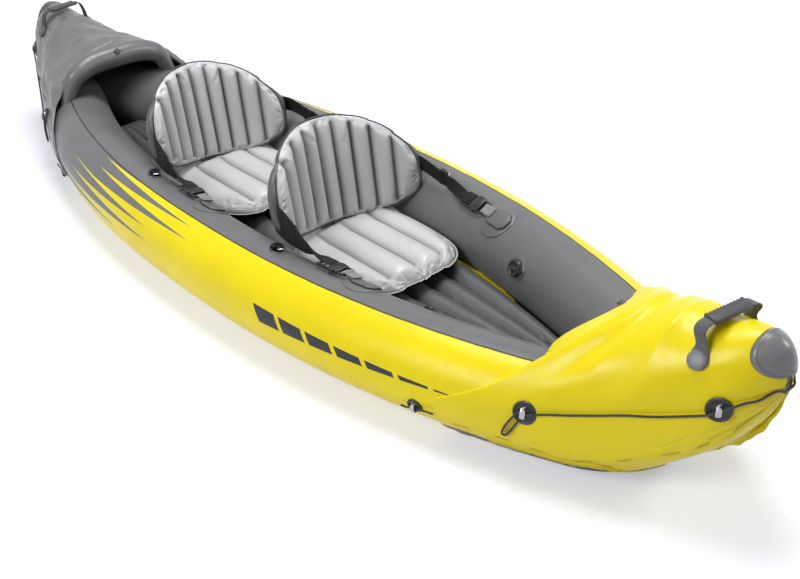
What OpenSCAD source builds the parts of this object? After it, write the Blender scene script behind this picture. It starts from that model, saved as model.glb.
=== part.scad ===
// Tandem inflatable kayak: two side chambers, a fluted floor, end covers over ribs, two seats.
// Millimetres, +X to the bow, +Y to port, +Z up, bottom skin on z = 0.

/* [Hull] */
// Overall length from bow tip to stern tip
boat_l = 3165; // [2900:10:3400]
// Overall beam
boat_w = 910; // [820:10:1000]
// Diameter of each side chamber
tube_d = 244; // [200:2:280]
// Height the chamber ends rise above the flat bottom
end_rise = 220; // [120:5:300]
// Distance from midships at which the ends begin to rise
rise_x = 1200; // [1000:10:1300]
// Power of the plan curve, larger is boxier
plan_pow = 2.3; // [1.8:0.05:3]
// Thickness of the bottom skin
skin_t = 1.5; // [1:0.1:3]

/* [Floor] */
// Height of the floor flute crests
floor_h = 95; // [70:1:120]
// Number of lengthwise flutes
floor_flutes = 5; // [3:2:7]
// Depth of the grooves between flutes
floor_groove = 24; // [8:1:40]

/* [Covers] */
// Thickness of the cover sheet
cover_t = 2; // [1.5:0.1:3]
// Extra height of the covers over the chambers
dome_h = 140; // [60:5:180]
// Radius of the inflated ribs
rib_r = 40; // [25:1:50]

/* [Seats] */
// Centre distance between the two seats
seat_pitch = 626; // [560:2:700]
// Clearance between the seat bases and the chambers
seat_clear = 5; // [3:1:30]
// Height of the seat base crests
base_top = 175; // [140:1:200]
// Number of flutes in the seat base
base_flutes = 4; // [3:1:6]
// How far the backrest ends lie inboard of the chamber axes
back_inset = 87; // [80:1:120]
// Height of the backrest top
back_top = 460; // [420:5:500]
// Number of upright flutes in the backrest
back_flutes = 9; // [6:1:12]
// Half thickness of the backrest
back_t = 29; // [20:1:36]
// Side tilt of the backrest as set by its straps
back_tilt = 0.04; // [0:0.01:0.08]

/* [Fittings] */
// Radius of the grab lines
line_r = 3; // [2:0.5:4]
// Radius of the line eyelet discs
eyelet_r = 24; // [18:1:30]
// Width of the handle webbing
handle_w = 26; // [20:1:32]
// Height of the handle grip above its feet
handle_h = 51; // [40:1:60]
// Radius of the strap anchor discs
anchor_r = 33; // [25:1:40]
// Radius of the side chamber valve caps
cap_r = 21; // [16:1:26]

/* [Hidden] */
$fn = 32;
tube_r = tube_d / 2;
half_l = boat_l / 2 - 5;
mid_y = boat_w / 2 - tube_r;
tip_y = -67;
tube_z = skin_t + 0.3 + tube_r;
split = 0.5;
round_x = half_l - 110;
tube_sides = 24;
tube_half = 18;
seat_gap = 0.6;
skin_tip = 109;
seam_z = 130;
hinge_x = 162;

// Small vector helpers.
function unit(v) = v / norm(v);
function mix(a, b, t) = a + (b - a) * t;
function clamp01(t) = max(0, min(1, t));

// Plan curve, rise and end rounding of the side chambers.
function chamber_y(x) = tip_y + (mid_y - tip_y) * (1 - pow(abs(x) / half_l, plan_pow));
function plan_x(y) = half_l * pow((mid_y - y) / (mid_y - tip_y), 1 / plan_pow);
function chamber_rise(x) = end_rise * pow(max(0, (abs(x) - rise_x) / (half_l - rise_x)), 2);
function chamber_z(x) = tube_z + chamber_rise(x);
function end_u(x) = max(0, (abs(x) - round_x) / (half_l - round_x));
function end_k(x) = sqrt(max(0.03, 1 - pow(end_u(x), 2.4)));
function chamber_slope(x) =
  -sign(x) * (mid_y - tip_y) * plan_pow / half_l * pow(abs(x) / half_l, plan_pow - 1);
function flat_a(x) = asin(min(0.97, max(0, -chamber_y(x)) / tube_r));
function chamber_a(x, j) = let (f = flat_a(x), h = tube_sides / 2)
  j <= h ? f + (180 - 2 * f) * j / h : 360 * j / tube_sides;
function chamber_pt(x, j) =
  let (k = end_k(x), a = chamber_a(x, j), in = j > tube_sides / 2 ? cos(flat_a(x)) : 1)
  [x, max(split, k * (chamber_y(x) + tube_r * sin(a)) + split), chamber_z(x) + k * in * tube_r * cos(a)];
function station(i) = (half_l - 3) * sin(90 * i / tube_half);

// Closed skin over rings of points, ends capped; one side may split along its other diagonal,
// and the end caps may fan out from one point of the ring.
module loft(rings, other = -1, hub = -1) {
  m = len(rings[0]);
  n = len(rings);
  caps = hub < 0
    ? [[for (j = [0:m - 1]) m - 1 - j], [for (j = [0:m - 1]) (n - 1) * m + j]]
    : [for (j = [1:m - 2]) for (end = [0, 1]) let (a = (hub + j) % m, b = (hub + j + 1) % m)
      end == 0 ? [hub, b, a] : [(n - 1) * m + hub, (n - 1) * m + a, (n - 1) * m + b]];
  polyhedron(
    points = [for (r = rings) for (p = r) p],
    faces = concat(
      [for (i = [0:n - 2]) for (j = [0:m - 1])
        [i * m + j, i * m + (j + 1) % m, (i + 1) * m + (j == other ? j : (j + 1) % m)]],
      [for (i = [0:n - 2]) for (j = [0:m - 1])
        [i * m + (j == other ? j + 1 : j), (i + 1) * m + (j + 1) % m, (i + 1) * m + j]],
      caps),
    convexity = 8);
}

// Closed cushion between two grids of points that share their rim outline.
module cushion(top, bot) {
  n = len(top);
  m = len(top[0]);
  k = n * m;
  quads = concat(
    [for (i = [0:n - 2]) for (j = [0:m - 2])
      [i * m + j, i * m + j + 1, (i + 1) * m + j + 1, (i + 1) * m + j]],
    [for (i = [0:n - 2]) for (j = [0:m - 2])
      [k + i * m + j, k + (i + 1) * m + j, k + (i + 1) * m + j + 1, k + i * m + j + 1]],
    [for (j = [0:m - 2])
      [(n - 1) * m + j, (n - 1) * m + j + 1, k + (n - 1) * m + j + 1, k + (n - 1) * m + j]],
    [for (j = [0:m - 2]) [j + 1, j, k + j, k + j + 1]],
    [for (i = [0:n - 2]) [(i + 1) * m + m - 1, i * m + m - 1, k + i * m + m - 1, k + (i + 1) * m + m - 1]],
    [for (i = [0:n - 2]) [i * m, (i + 1) * m, k + (i + 1) * m, k + i * m]]);
  polyhedron(
    points = concat([for (r = top) for (p = r) p], [for (r = bot) for (p = r) p]),
    faces = [for (q = quads) for (h = [0, 1]) h == 0 ? [q[0], q[1], q[2]] : [q[0], q[2], q[3]]],
    convexity = 8);
}

// Round cord through a list of points.
function tangent(p, i) = unit(p[min(i + 1, len(p) - 1)] - p[max(i - 1, 0)]);
function cord_ring(p, i, r, sides) =
  let (t = tangent(p, i), n = unit(cross(cross(t, [0.12, 0.1, 1]), t)), b = cross(n, t))
  [for (j = [0:sides - 1]) p[i] + r * (cos(360 * j / sides) * n + sin(360 * j / sides) * b)];
module cord(p, r, sides = 8) {
  loft([for (i = [0:len(p) - 1]) cord_ring(p, i, r, sides)]);
}

// Flat strap: each station is [centre, across vector, half width, face normal].
module strap(st, t) {
  loft([for (s = st) [
    s[0] - s[2] * s[1] + t / 2 * s[3], s[0] + s[2] * s[1] + t / 2 * s[3],
    s[0] + s[2] * s[1] - t / 2 * s[3], s[0] - s[2] * s[1] - t / 2 * s[3]]], 2);
}

// Seats a fitting on a port side chamber, a degrees inboard of the crest.
module on_chamber(x, a) {
  translate([x, chamber_y(x) - tube_r * sin(a), chamber_z(x) + tube_r * cos(a)])
    rotate([0, 0, atan(chamber_slope(x))])
      rotate([a, 0, 0])
        children();
}

// Disc that follows the chamber under it.
module bent_disc(r, t) {
  intersection() {
    translate([-r - 5, 0, -tube_r])
      rotate([0, 90, 0])
        difference() {
          cylinder(r = tube_r + 0.5 + t, h = 2 * r + 10, $fn = 96);
          translate([0, 0, -1])
            cylinder(r = tube_r + 0.5, h = 2 * r + 12, $fn = 96);
        }
    translate([0, 0, -r / 2])
      cylinder(r = r, h = r);
  }
}

// Hull.
module side_chamber() {
  color([0.36, 0.37, 0.38])
    loft([for (i = [-tube_half:tube_half])
      [for (j = [0:tube_sides - 1]) chamber_pt(station(i), j)]], hub = tube_sides / 4);
}
module port_side_chamber() {
  side_chamber();
}
module starboard_side_chamber() {
  mirror([0, 1, 0])
    side_chamber();
}

// Bottom skin, welded under both chambers.
skin_x = plan_x(skin_tip);
skin_lap = 12;
skin_half = 12;
function skin_xs(i) = skin_x * i / skin_half;
module bottom_skin() {
  color([0.16, 0.17, 0.18])
    linear_extrude(skin_t)
      polygon(concat(
        [for (i = [-skin_half:skin_half]) [skin_xs(i), -chamber_y(skin_xs(i)) - skin_lap]],
        [for (i = [-skin_half:skin_half]) [-skin_xs(i), chamber_y(skin_xs(i)) + skin_lap]]));
}

// Floor chamber, a fluted mattress between the side chambers.
floor_gap = 3;
floor_tip = 30;
floor_edge = 34;
floor_x = plan_x(tube_r + floor_gap + floor_tip);
floor_half = 8;
floor_steps = 6;
function floor_w(x) = chamber_y(x) - tube_r - floor_gap;
function flute(u, n) = abs(sin(90 * n * (u + 1)));
function floor_top(x, u) = floor_h - floor_groove * floor_w(x) / floor_w(0) * (1 - flute(u, floor_flutes));
function floor_ring(x) =
  let (w = floor_w(x), k = floor_flutes * floor_steps, z0 = skin_t + 0.3)
  concat(
    [for (i = [0:k]) let (u = 2 * i / k - 1) [x, w * u, floor_top(x, u)]],
    [[x, w, floor_edge], [x, w * 0.93, z0], [x, -w * 0.93, z0], [x, -w, floor_edge]]);
module floor_chamber() {
  color([0.3, 0.31, 0.32])
    loft([for (i = [-floor_half:floor_half]) floor_ring(floor_x * sin(90 * i / floor_half))],
      hub = floor_flutes * floor_steps + 2);
}

// End covers: section over the chambers, its edge cut along a leaning plane.
cover_gap = 4.5;
crest_z = tube_z + tube_r - 6;
flap_z = 110;
fade_l = 300;
cover_n = 16;
upper_n = 6;
lower_n = 4;
lap_y = 3;
function lap_a(x) = let (k = end_k(x))
  180 - asin(clamp01((lap_y - k * chamber_y(x)) / (k * tube_r + cover_gap)));
function skirt_a(x) = min(150 + 28 * clamp01((x - half_l + 377) / 200), lap_a(x));
function cover_a(x, j) = abs(j) <= upper_n ? 90 * j / upper_n
  : sign(j) * (90 + (skirt_a(x) - 90) * (abs(j) - upper_n) / lower_n);
function dome(x, x0) = dome_h * max(0, min(1, (x - x0) / 400, (half_l + 15 - x) / 245));
function cover_yz(x, a, g, x0) =
  let (k = end_k(x), c = k * chamber_y(x), r = k * tube_r + g, h = abs(a) <= 90 ? dome(x, x0) : 0)
  [abs(a) <= 90 ? (c + r) * sin(a) : sign(a) * (c + r * abs(sin(a))),
    chamber_z(x) + (r + h) * cos(a)];
function cover_x(xi, a, g, x0, edge, lean, x, n) = n == 0 ? x
  : let (z = max(flap_z, cover_yz(x, a, g, x0)[1]), f = clamp01(1 - (xi - edge) / fade_l))
  cover_x(xi, a, g, x0, edge, lean, xi + f * (z < crest_z ? 1 : lean) * (z - crest_z), n - 1);
function cover_pt(xi, j, g, x0, edge, lean) =
  let (a = cover_a(xi, j), x = cover_x(xi, a, g, x0, edge, lean, xi, 6), q = cover_yz(x, a, g, x0))
  [x, q[0], q[1]];
function cover_row(i, g, x0, edge, lean) =
  let (xi = mix(edge, half_l - 0.5, sin(90 * i / cover_n)))
  [for (j = [-upper_n - lower_n:upper_n + lower_n]) cover_pt(xi, j, g, x0, edge, lean)];
module cover_shell(x0, edge, lean) {
  m = 2 * (upper_n + lower_n) + 1;
  n = cover_n + 1;
  k = n * m;
  tip_z = chamber_z(half_l);
  outer = [for (i = [0:cover_n]) cover_row(i, cover_gap + cover_t, x0, edge, lean)];
  inner = [for (i = [0:cover_n]) cover_row(i, cover_gap, x0, edge, lean)];
  quads = concat(
    [for (i = [0:n - 2]) for (j = [0:m - 2])
      [i * m + j, i * m + j + 1, (i + 1) * m + j + 1, (i + 1) * m + j]],
    [for (i = [0:n - 2]) for (j = [0:m - 2])
      [k + i * m + j, k + (i + 1) * m + j, k + (i + 1) * m + j + 1, k + i * m + j + 1]],
    [for (j = [0:m - 2]) [j + 1, j, k + j, k + j + 1]],
    [for (i = [0:n - 2]) [(i + 1) * m + m - 1, i * m + m - 1, k + i * m + m - 1, k + (i + 1) * m + m - 1]],
    [for (i = [0:n - 2]) [i * m, (i + 1) * m, k + (i + 1) * m, k + i * m]]);
  polyhedron(
    points = concat(
      [for (r = outer) for (p = r) p], [for (r = inner) for (p = r) p],
      [[half_l + 5, 0, tip_z], [half_l + 3, 0, tip_z]]),
    faces = concat(
      [for (q = quads) for (h = [0, 1]) h == 0 ? [q[0], q[1], q[2]] : [q[0], q[2], q[3]]],
      [for (j = [0:m - 2]) [(n - 1) * m + j, (n - 1) * m + j + 1, 2 * k]],
      [for (j = [0:m - 2]) [k + (n - 1) * m + j + 1, k + (n - 1) * m + j, 2 * k + 1]],
      [[(n - 1) * m, 2 * k, 2 * k + 1], [(n - 1) * m, 2 * k + 1, k + (n - 1) * m]],
      [[n * m - 1, 2 * k + 1, 2 * k], [n * m - 1, k + n * m - 1, 2 * k + 1]]),
    convexity = 10);
}
bow_edge = half_l - 502;
bow_dome_x = bow_edge - 225;
bow_lean = 1;
stern_edge = half_l - 515;
stern_dome_x = stern_edge - 362;
stern_lean = 0.5;
module bow_cover() {
  color([0.93, 0.84, 0.09])
    cover_shell(bow_dome_x, bow_edge, bow_lean);
}
module stern_cover() {
  color([0.3, 0.31, 0.32])
    mirror([1, 0, 0])
      cover_shell(stern_dome_x, stern_edge, stern_lean);
}

// Point and outward normal on a cover, a degrees from the top towards port.
function skin_pt(x, a, g, x0) = let (q = cover_yz(x, a, g, x0)) [x, q[0], q[1]];
function skin_n(x, a, x0) =
  let (g = cover_gap + cover_t, da = skin_pt(x, a + 1, g, x0) - skin_pt(x, a - 1, g, x0),
    dx = skin_pt(x + 3, a, g, x0) - skin_pt(x - 3, a, g, x0))
  unit(cross(dx, da));
function skin_off(x, a, h, x0) = skin_pt(x, a, cover_gap + cover_t, x0) + h * skin_n(x, a, x0);
module on_cover(x, a, lift, x0) {
  n = skin_n(x, a, x0);
  translate(skin_off(x, a, lift, x0))
    rotate([0, acos(n[2]), atan2(n[1], n[0])])
      children();
}

// Inflated ribs that hold up the cover edges.
rib_n = 12;
function rib_path(ends, top, y) =
  let (w = 1 - pow(abs(y) / ends[1], top[2]))
  [mix(ends[0], top[0], w), y, mix(ends[2], top[1], w)];
function rib_size(u) = rib_r * pow(max(0.06, 1 - pow(abs(u), 5)), 0.5);
module rib(ends, top) {
  path = [for (i = [-rib_n:rib_n]) rib_path(ends, top, ends[1] * sin(90 * i / rib_n))];
  loft([for (i = [0:2 * rib_n]) cord_ring(path, i, rib_size(sin(90 * (i - rib_n) / rib_n)), 12)]);
}
function rib_foot(x, dy, dz) = [x, chamber_y(x) + dy, chamber_z(x) + dz];
bow_rib_ends = rib_foot(bow_edge + 37, 11, 133.6);
bow_rib_top = [bow_edge + 129, tube_z + 194.2, 2];
stern_rib_ends = rib_foot(stern_edge - 44, 45, 121.4);
stern_rib_top = [stern_edge + 16, tube_z + 220.2, 3.5];
module bow_rib() {
  color([0.9, 0.8, 0.1])
    rib(bow_rib_ends, bow_rib_top);
}
module stern_rib() {
  color([0.33, 0.34, 0.35])
    mirror([1, 0, 0])
      rib(stern_rib_ends, stern_rib_top);
}

// Nose patches: oval caps that follow the tip of each cover.
nose_o = [half_l - 110, 0, chamber_z(half_l - 60)];
nose_pitch = 50;
nose_spread = 25;
function nose_w(x) = end_k(x) * (chamber_y(x) + tube_r) + cover_gap + cover_t;
function nose_h(x, z, x0) =
  end_k(x) * tube_r + cover_gap + cover_t + (z > chamber_z(x) ? dome(x, x0) : 0);
function inside_nose(p, x0) =
  p[0] < half_l
  && pow(p[1] / nose_w(p[0]), 2) + pow((p[2] - chamber_z(p[0])) / nose_h(p[0], p[2], x0), 2) < 1;
function nose_hit(d, x0, lo, hi, n) = n == 0 ? hi
  : let (t = (lo + hi) / 2) inside_nose(nose_o + t * d, x0) ? nose_hit(d, x0, t, hi, n - 1)
  : nose_hit(d, x0, lo, t, n - 1);
function nose_dir(r, a) =
  let (v = [cos(r), sin(r) * sin(a), sin(r) * cos(a)], c = cos(nose_pitch), s = sin(nose_pitch))
  [c * v[0] - s * v[2], v[1], s * v[0] + c * v[2]];
function nose_pt(r, a, off, x0) =
  let (d = nose_dir(r, a)) nose_o + (nose_hit(d, x0, 40, 260, 18) + off) * d;
module nose_patch(x0) {
  k = 16;
  rings = [for (i = [0.06, 0.4, 0.72, 1]) i * nose_spread];
  outer = [for (r = rings) [for (j = [0:k - 1]) nose_pt(r, 360 * j / k, 7.8, x0)]];
  inner = [for (r = rings) [for (j = [0:k - 1]) nose_pt(r, 360 * j / k, 5.8, x0)]];
  loft(concat([inner[0], inner[1], inner[2], inner[3]], [outer[3], outer[2], outer[1], outer[0]]));
}
module bow_nose_patch() {
  color([0.42, 0.43, 0.44])
    nose_patch(bow_dome_x);
}
module stern_nose_patch() {
  color([0.3, 0.31, 0.32])
    mirror([1, 0, 0])
      nose_patch(stern_dome_x);
}

// Carry handles: webbing welded under two round discs, with a ribbed grip.
handle_x = half_l - 147;
handle_a = 40;
anchor_t = 3;
anchor_lift = 0.3;
handle_y = skin_pt(handle_x, handle_a, cover_gap + cover_t, bow_dome_x)[1] - 4.5;
handle_foot = skin_pt(handle_x, handle_a, cover_gap + cover_t, bow_dome_x)[2] + 29.6;
grip_z = handle_foot + handle_h;
module handle_anchor() {
  cylinder(r = 21, h = anchor_t);
  translate([0, 0, anchor_t])
    cylinder(r = 17, h = 1);
}
module handle_anchors(x0) {
  for (s = [-1, 1])
    on_cover(handle_x, s * handle_a, anchor_lift, x0)
      handle_anchor();
}
module bow_handle_anchors() {
  color([0.42, 0.43, 0.44])
    handle_anchors(bow_dome_x);
}
module stern_handle_anchors() {
  color([0.3, 0.31, 0.32])
    mirror([1, 0, 0])
      handle_anchors(stern_dome_x);
}
module handle_arch() {
  rotate([90, 0, -90])
    linear_extrude(2 * handle_w, center = true)
      difference() {
        polygon([[-handle_y, 0], [-handle_y, grip_z - 16], [12 - handle_y, grip_z - 3],
          [27 - handle_y, grip_z + 1], [handle_y - 27, grip_z + 1], [handle_y - 12, grip_z - 3],
          [handle_y, grip_z - 16], [handle_y, 0]]);
        polygon([[3 - handle_y, -1], [3 - handle_y, grip_z - 17], [14 - handle_y, grip_z - 6],
          [28 - handle_y, grip_z - 2], [handle_y - 28, grip_z - 2], [handle_y - 14, grip_z - 6],
          [handle_y - 3, grip_z - 17], [handle_y - 3, -1]]);
      }
}
module handle_strap() {
  translate([handle_x, 0, 0])
    intersection() {
      handle_arch();
      union() {
        translate([0, 100, handle_foot])
          rotate([90, 0, 0])
            cylinder(r = handle_w / 2, h = 200);
        translate([-handle_w / 2, -100, handle_foot])
          cube([handle_w, 200, 200]);
      }
    }
}
module bow_handle_strap() {
  color([0.42, 0.43, 0.44])
    handle_strap();
}
module stern_handle_strap() {
  color([0.3, 0.31, 0.32])
    mirror([1, 0, 0])
      handle_strap();
}
module handle_grip() {
  difference() {
    union() {
      translate([handle_x - 17, -52, grip_z - 6])
        cube([34, 104, 11]);
      for (i = [-3:3])
        translate([handle_x - 17, i * 14 - 3, grip_z + 5])
          cube([34, 6, 2.5]);
    }
    translate([handle_x - handle_w / 2 - 0.4, -60, grip_z - 2.4])
      cube([handle_w + 0.8, 120, 3.8]);
  }
}
module bow_handle_grip() {
  color([0.36, 0.37, 0.38])
    handle_grip();
}
module stern_handle_grip() {
  color([0.26, 0.27, 0.28])
    mirror([1, 0, 0])
      handle_grip();
}

// Line eyelets: molded discs with a bridge over the grab line.
eye_x = [bow_edge + 63, half_l - 83];
eye_a = [79, 82];
eye_lift = [-0.2, 0.6];
module eyelet() {
  cylinder(r = eyelet_r, h = 3);
  for (s = [-1, 1])
    translate([s * 9.5 - 1.5, -3.5, 2.5])
      cube([3, 7, 10.5]);
  translate([-11, -3.5, 12])
    cube([22, 7, 3]);
}
module line_eyelets(x0) {
  for (i = [0, 1])
    for (s = [-1, 1])
      on_cover(eye_x[i], s * eye_a[i], eye_lift[i], x0)
        eyelet();
}
module bow_line_eyelets() {
  color([0.07, 0.07, 0.08])
    line_eyelets(bow_dome_x);
}
module stern_line_eyelets() {
  color([0.07, 0.07, 0.08])
    mirror([1, 0, 0])
      line_eyelets(stern_dome_x);
}
side_eye_x = bow_edge - 200;
side_eye_a = -107;
module side_tie_eyelets() {
  color([0.07, 0.07, 0.08])
    for (m = [[0, 0, 0], [1, 0, 0]])
      for (s = [0, 1])
        mirror(m)
          mirror([0, s, 0])
            on_chamber(side_eye_x, side_eye_a) {
              bent_disc(eyelet_r - 4, 2.5);
              for (h = [-1, 1])
                translate([-3.5, h * 9.5 - 1.5, 2])
                  cube([7, 3, 11]);
              translate([-3.5, -11, 12])
                cube([7, 22, 3]);
            }
}

// Grab lines: through both eyelets of each side and round the nose.
line_lift = 8.7;
nose_line_lift = 7;
tip_line_z = chamber_z(half_l) - 22;
function side_line(x0) = concat(
  [skin_off(eye_x[0] - 20, 88, 9, x0) + [0, 6, -12]],
  [for (d = [-12, 0, 12]) skin_off(eye_x[0] + d, eye_a[0], eye_lift[0] + line_lift, x0)],
  [for (t = [0.1:0.15:0.9])
    skin_off(mix(eye_x[0], eye_x[1], t), mix(eye_a[0], eye_a[1], t), nose_line_lift, x0)],
  [for (d = [-14, 0, 14]) skin_off(eye_x[1] + d, eye_a[1], eye_lift[1] + line_lift, x0)],
  [skin_off(half_l - 45, 86, nose_line_lift, x0), skin_off(half_l - 28, 92, nose_line_lift, x0)]);
function flip_y(p) = [p[0], -p[1], p[2]];
module grab_line(x0) {
  half = side_line(x0);
  n = len(half);
  nose = [[half_l + 5, 34, tip_line_z + 4], [half_l + 13, 18, tip_line_z],
    [half_l + 15, 0, tip_line_z], [half_l + 13, -18, tip_line_z], [half_l + 5, -34, tip_line_z + 4]];
  cord(concat(half, nose, [for (i = [0:n - 1]) flip_y(half[n - 1 - i])]), line_r);
}
module bow_grab_line() {
  color([0.05, 0.05, 0.06])
    grab_line(bow_dome_x);
}
module stern_grab_line() {
  color([0.05, 0.05, 0.06])
    mirror([1, 0, 0])
      grab_line(stern_dome_x);
}

// Tie cords: from the side eyelets to the cover flaps, with a hanging loop.
tie_path = [[-30, -4, 14], [-22, 6, 9], [-8, 1, 9.2], [0, 0, 9.2], [8, 0, 9.2], [24, -4, 9], [40, -8, 10],
  [56, -10, 11]];
module side_tie_cords() {
  color([0.05, 0.05, 0.06])
    for (m = [[0, 0, 0], [1, 0, 0]])
      for (s = [0, 1])
        mirror(m)
          mirror([0, s, 0])
            on_chamber(side_eye_x, side_eye_a)
              cord(tie_path, line_r - 0.5);
}

// Seat bases: fluted cushions drawn in at a welded rim.
base_x0 = 178;
base_x1 = 536;
base_hw = chamber_y(seat_pitch - base_x0) - tube_r - seat_clear;
base_rows = 12;
base_cols = base_flutes * 6;
function base_w(x) =
  base_hw * min(1, 1.115 * pow(max(0, 1 - pow(max(0, (x - base_x0 - 22) / (base_x1 - base_x0 + 12)), 2.5)), 0.52)) *
  pow(1 - pow(max(0, (base_x0 + 27 - x) / 90), 2), 0.5);
function base_edge(u, v) = pow((1 - pow(abs(u), 5)) * (1 - pow(abs(v), 7)), 0.5);
function base_groove(u, v) = 15 * (1 - flute(u, base_flutes)) * base_edge(u, v);
function base_grid(z0, h, g) =
  [for (i = [0:base_rows]) let (v = sin(90 * (2 * i / base_rows - 1)), x = mix(base_x0, base_x1, (v + 1) / 2))
    [for (j = [0:base_cols]) let (u = 2 * j / base_cols - 1)
      [x, base_w(x) * u, z0 + h * base_edge(u, v) - g * base_groove(u, v)]]];
module seat_base() {
  color([0.72, 0.73, 0.74])
    cushion(
      base_grid(seam_z + 1, base_top - seam_z - 1, 1),
      base_grid(seam_z - 1, floor_h + seat_gap - seam_z + 1, 0));
}
module front_seat_base() {
  seat_base();
}
module rear_seat_base() {
  translate([-seat_pitch, 0, 0])
    seat_base();
}

// Backrests: curved cushions with upright flutes and a rounded top.
back_hw = mid_y - back_inset;
back_cols = back_flutes * 4;
back_rows = 8;
back_bend = 0.00175;
back_lean = -0.22;
back_bot = 178;
back_corner = 245;
function back_low(u) = mix(back_bot, back_corner, u * u);
function back_high(u) = mix(back_corner + 14, back_top, pow(max(0, 1 - pow(abs(u), 2.4)), 0.5));
function back_half(u, v) =
  1 + back_t * pow(1 - pow(abs(2 * v - 1), 3), 0.6) * pow(1 - pow(abs(u), 8), 0.5) *
  (0.62 + 0.38 * flute(u, back_flutes));
function back_mid(u, v) =
  let (y = back_hw * u, z = mix(back_low(u), back_high(u), v))
  [hinge_x + back_bend * y * y + back_lean * (z - back_bot), y, z - back_tilt * y];
function back_grid(k) =
  [for (i = [0:back_cols]) let (u = 2 * i / back_cols - 1)
    [for (j = [0:back_rows]) let (v = (1 + sin(90 * (2 * j / back_rows - 1))) / 2)
      back_mid(u, v) + [k * back_half(u, v), 0, 0]]];
module backrest() {
  color([0.68, 0.69, 0.7])
    cushion(back_grid(1), back_grid(-0.8));
}
module front_backrest() {
  backrest();
}
module rear_backrest() {
  translate([-seat_pitch, 0, 0])
    backrest();
}

// Seat hinges: a welded strip that joins each backrest to the rear rim of its base.
hinge_w = 120;
hinge_t = 1.8;
module seat_hinge() {
  color([0.5, 0.51, 0.52])
    translate([0, hinge_w / 2, 0])
      rotate([90, 0, 0])
        linear_extrude(hinge_w)
          polygon([[base_x0 - 0.4, seam_z - 3], [hinge_x + hinge_t / 2, back_bot - 0.8],
            [hinge_x - hinge_t / 2, back_bot - 0.8], [base_x0 - 0.4 - hinge_t, seam_z - 3]]);
}
module front_seat_hinge() {
  seat_hinge();
}
module rear_seat_hinge() {
  translate([-seat_pitch, 0, 0])
    seat_hinge();
}

// Strap wings: webbing from the backrest sides to the ladder buckles.
wing_t = 2;
wing_z = tube_z + tube_r + 52;
strap_a = 28;
buckle_x = 462;
function strap_pt(x, h) = [x, chamber_y(x) - (tube_r + h) * sin(strap_a), chamber_z(x) + (tube_r + h) * cos(strap_a)];
function across(a) = [0, sin(a), cos(a)];
function facing(a) = [0, -cos(a), sin(a)];
function wing_st(x0, tilt) =
  let (p = [x0 + 246, back_hw + 5, wing_z - tilt], q = strap_pt(x0 + 426, 15))
  concat(
    [for (i = [0:3]) let (f = i / 4, a = mix(-6, 90 - strap_a, f * f))
      [mix(p, q, f) + [0, 6 * sin(180 * f), 0], across(a), mix(36, 17, f), facing(a)]],
    [for (k = [[426, 15, 16], [447, 13, 15.5], [453, 7.5, 15.5]])
      [strap_pt(x0 + k[0], k[1]), across(90 - strap_a), k[2], facing(90 - strap_a)]]);
module wing(x0, tilt) {
  color([0.09, 0.09, 0.1])
    strap(wing_st(x0, tilt), wing_t);
}
wing_tilt = 10;
module front_port_wing() {
  wing(0, wing_tilt);
}
module front_starboard_wing() {
  mirror([0, 1, 0])
    wing(0, -wing_tilt);
}
module rear_port_wing() {
  wing(-seat_pitch, wing_tilt);
}
module rear_starboard_wing() {
  mirror([0, 1, 0])
    wing(-seat_pitch, -wing_tilt);
}

// Ladder buckles: frame with three bars that hold the webbing.
module ladder_buckles(x) {
  color([0.08, 0.08, 0.09])
    for (s = [0, 1])
      mirror([0, s, 0])
        on_chamber(x, strap_a)
          difference() {
            translate([-22, -22, 4])
              cube([44, 44, 7]);
            for (i = [-1, 1])
              translate([i * 10 - 6, -16, 3])
                cube([12, 32, 9]);
          }
}
module front_ladder_buckles() {
  ladder_buckles(buckle_x);
}
module rear_ladder_buckles() {
  ladder_buckles(buckle_x - seat_pitch);
}

// Anchor webs: short webbing between the buckles and the discs on the chambers.
module anchor_webs(x) {
  color([0.1, 0.1, 0.11])
    for (s = [0, 1])
      mirror([0, s, 0])
        on_chamber(x, strap_a)
          translate([0, 15, 0])
            rotate([90, 0, 0])
              linear_extrude(30)
                polygon([[7, 1.2], [50, 1.2], [60, 3.4], [94, 3.4], [94, 5.6], [58, 5.6], [48, 3.6],
                  [9.6, 3.6], [9.6, 10], [7, 10]]);
}
module front_anchor_webs() {
  anchor_webs(buckle_x);
}
module rear_anchor_webs() {
  anchor_webs(buckle_x - seat_pitch);
}

// Strap anchors: welded discs on the upper inner face of the chambers.
anchor_dx = 92;
module strap_anchors(x) {
  color([0.34, 0.35, 0.36])
    for (s = [0, 1])
      mirror([0, s, 0])
        on_chamber(x + anchor_dx, strap_a - 3)
          bent_disc(anchor_r, 2);
}
module front_strap_anchors() {
  strap_anchors(buckle_x);
}
module rear_strap_anchors() {
  strap_anchors(buckle_x - seat_pitch);
}

// Side ties: a short buckled strap on the chamber beside each backrest.
tie_dx = -172;
module side_ties(x) {
  color([0.08, 0.08, 0.09])
    for (s = [0, 1])
      mirror([0, s, 0])
        on_chamber(x + tie_dx, 14) {
          bent_disc(20, 2);
          translate([-11, -14, 2])
            cube([22, 28, 4]);
          translate([-14, -9, 5.5])
            cube([28, 18, 7]);
        }
}
module front_side_ties() {
  side_ties(buckle_x);
}
module rear_side_ties() {
  side_ties(buckle_x - seat_pitch);
}

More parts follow.
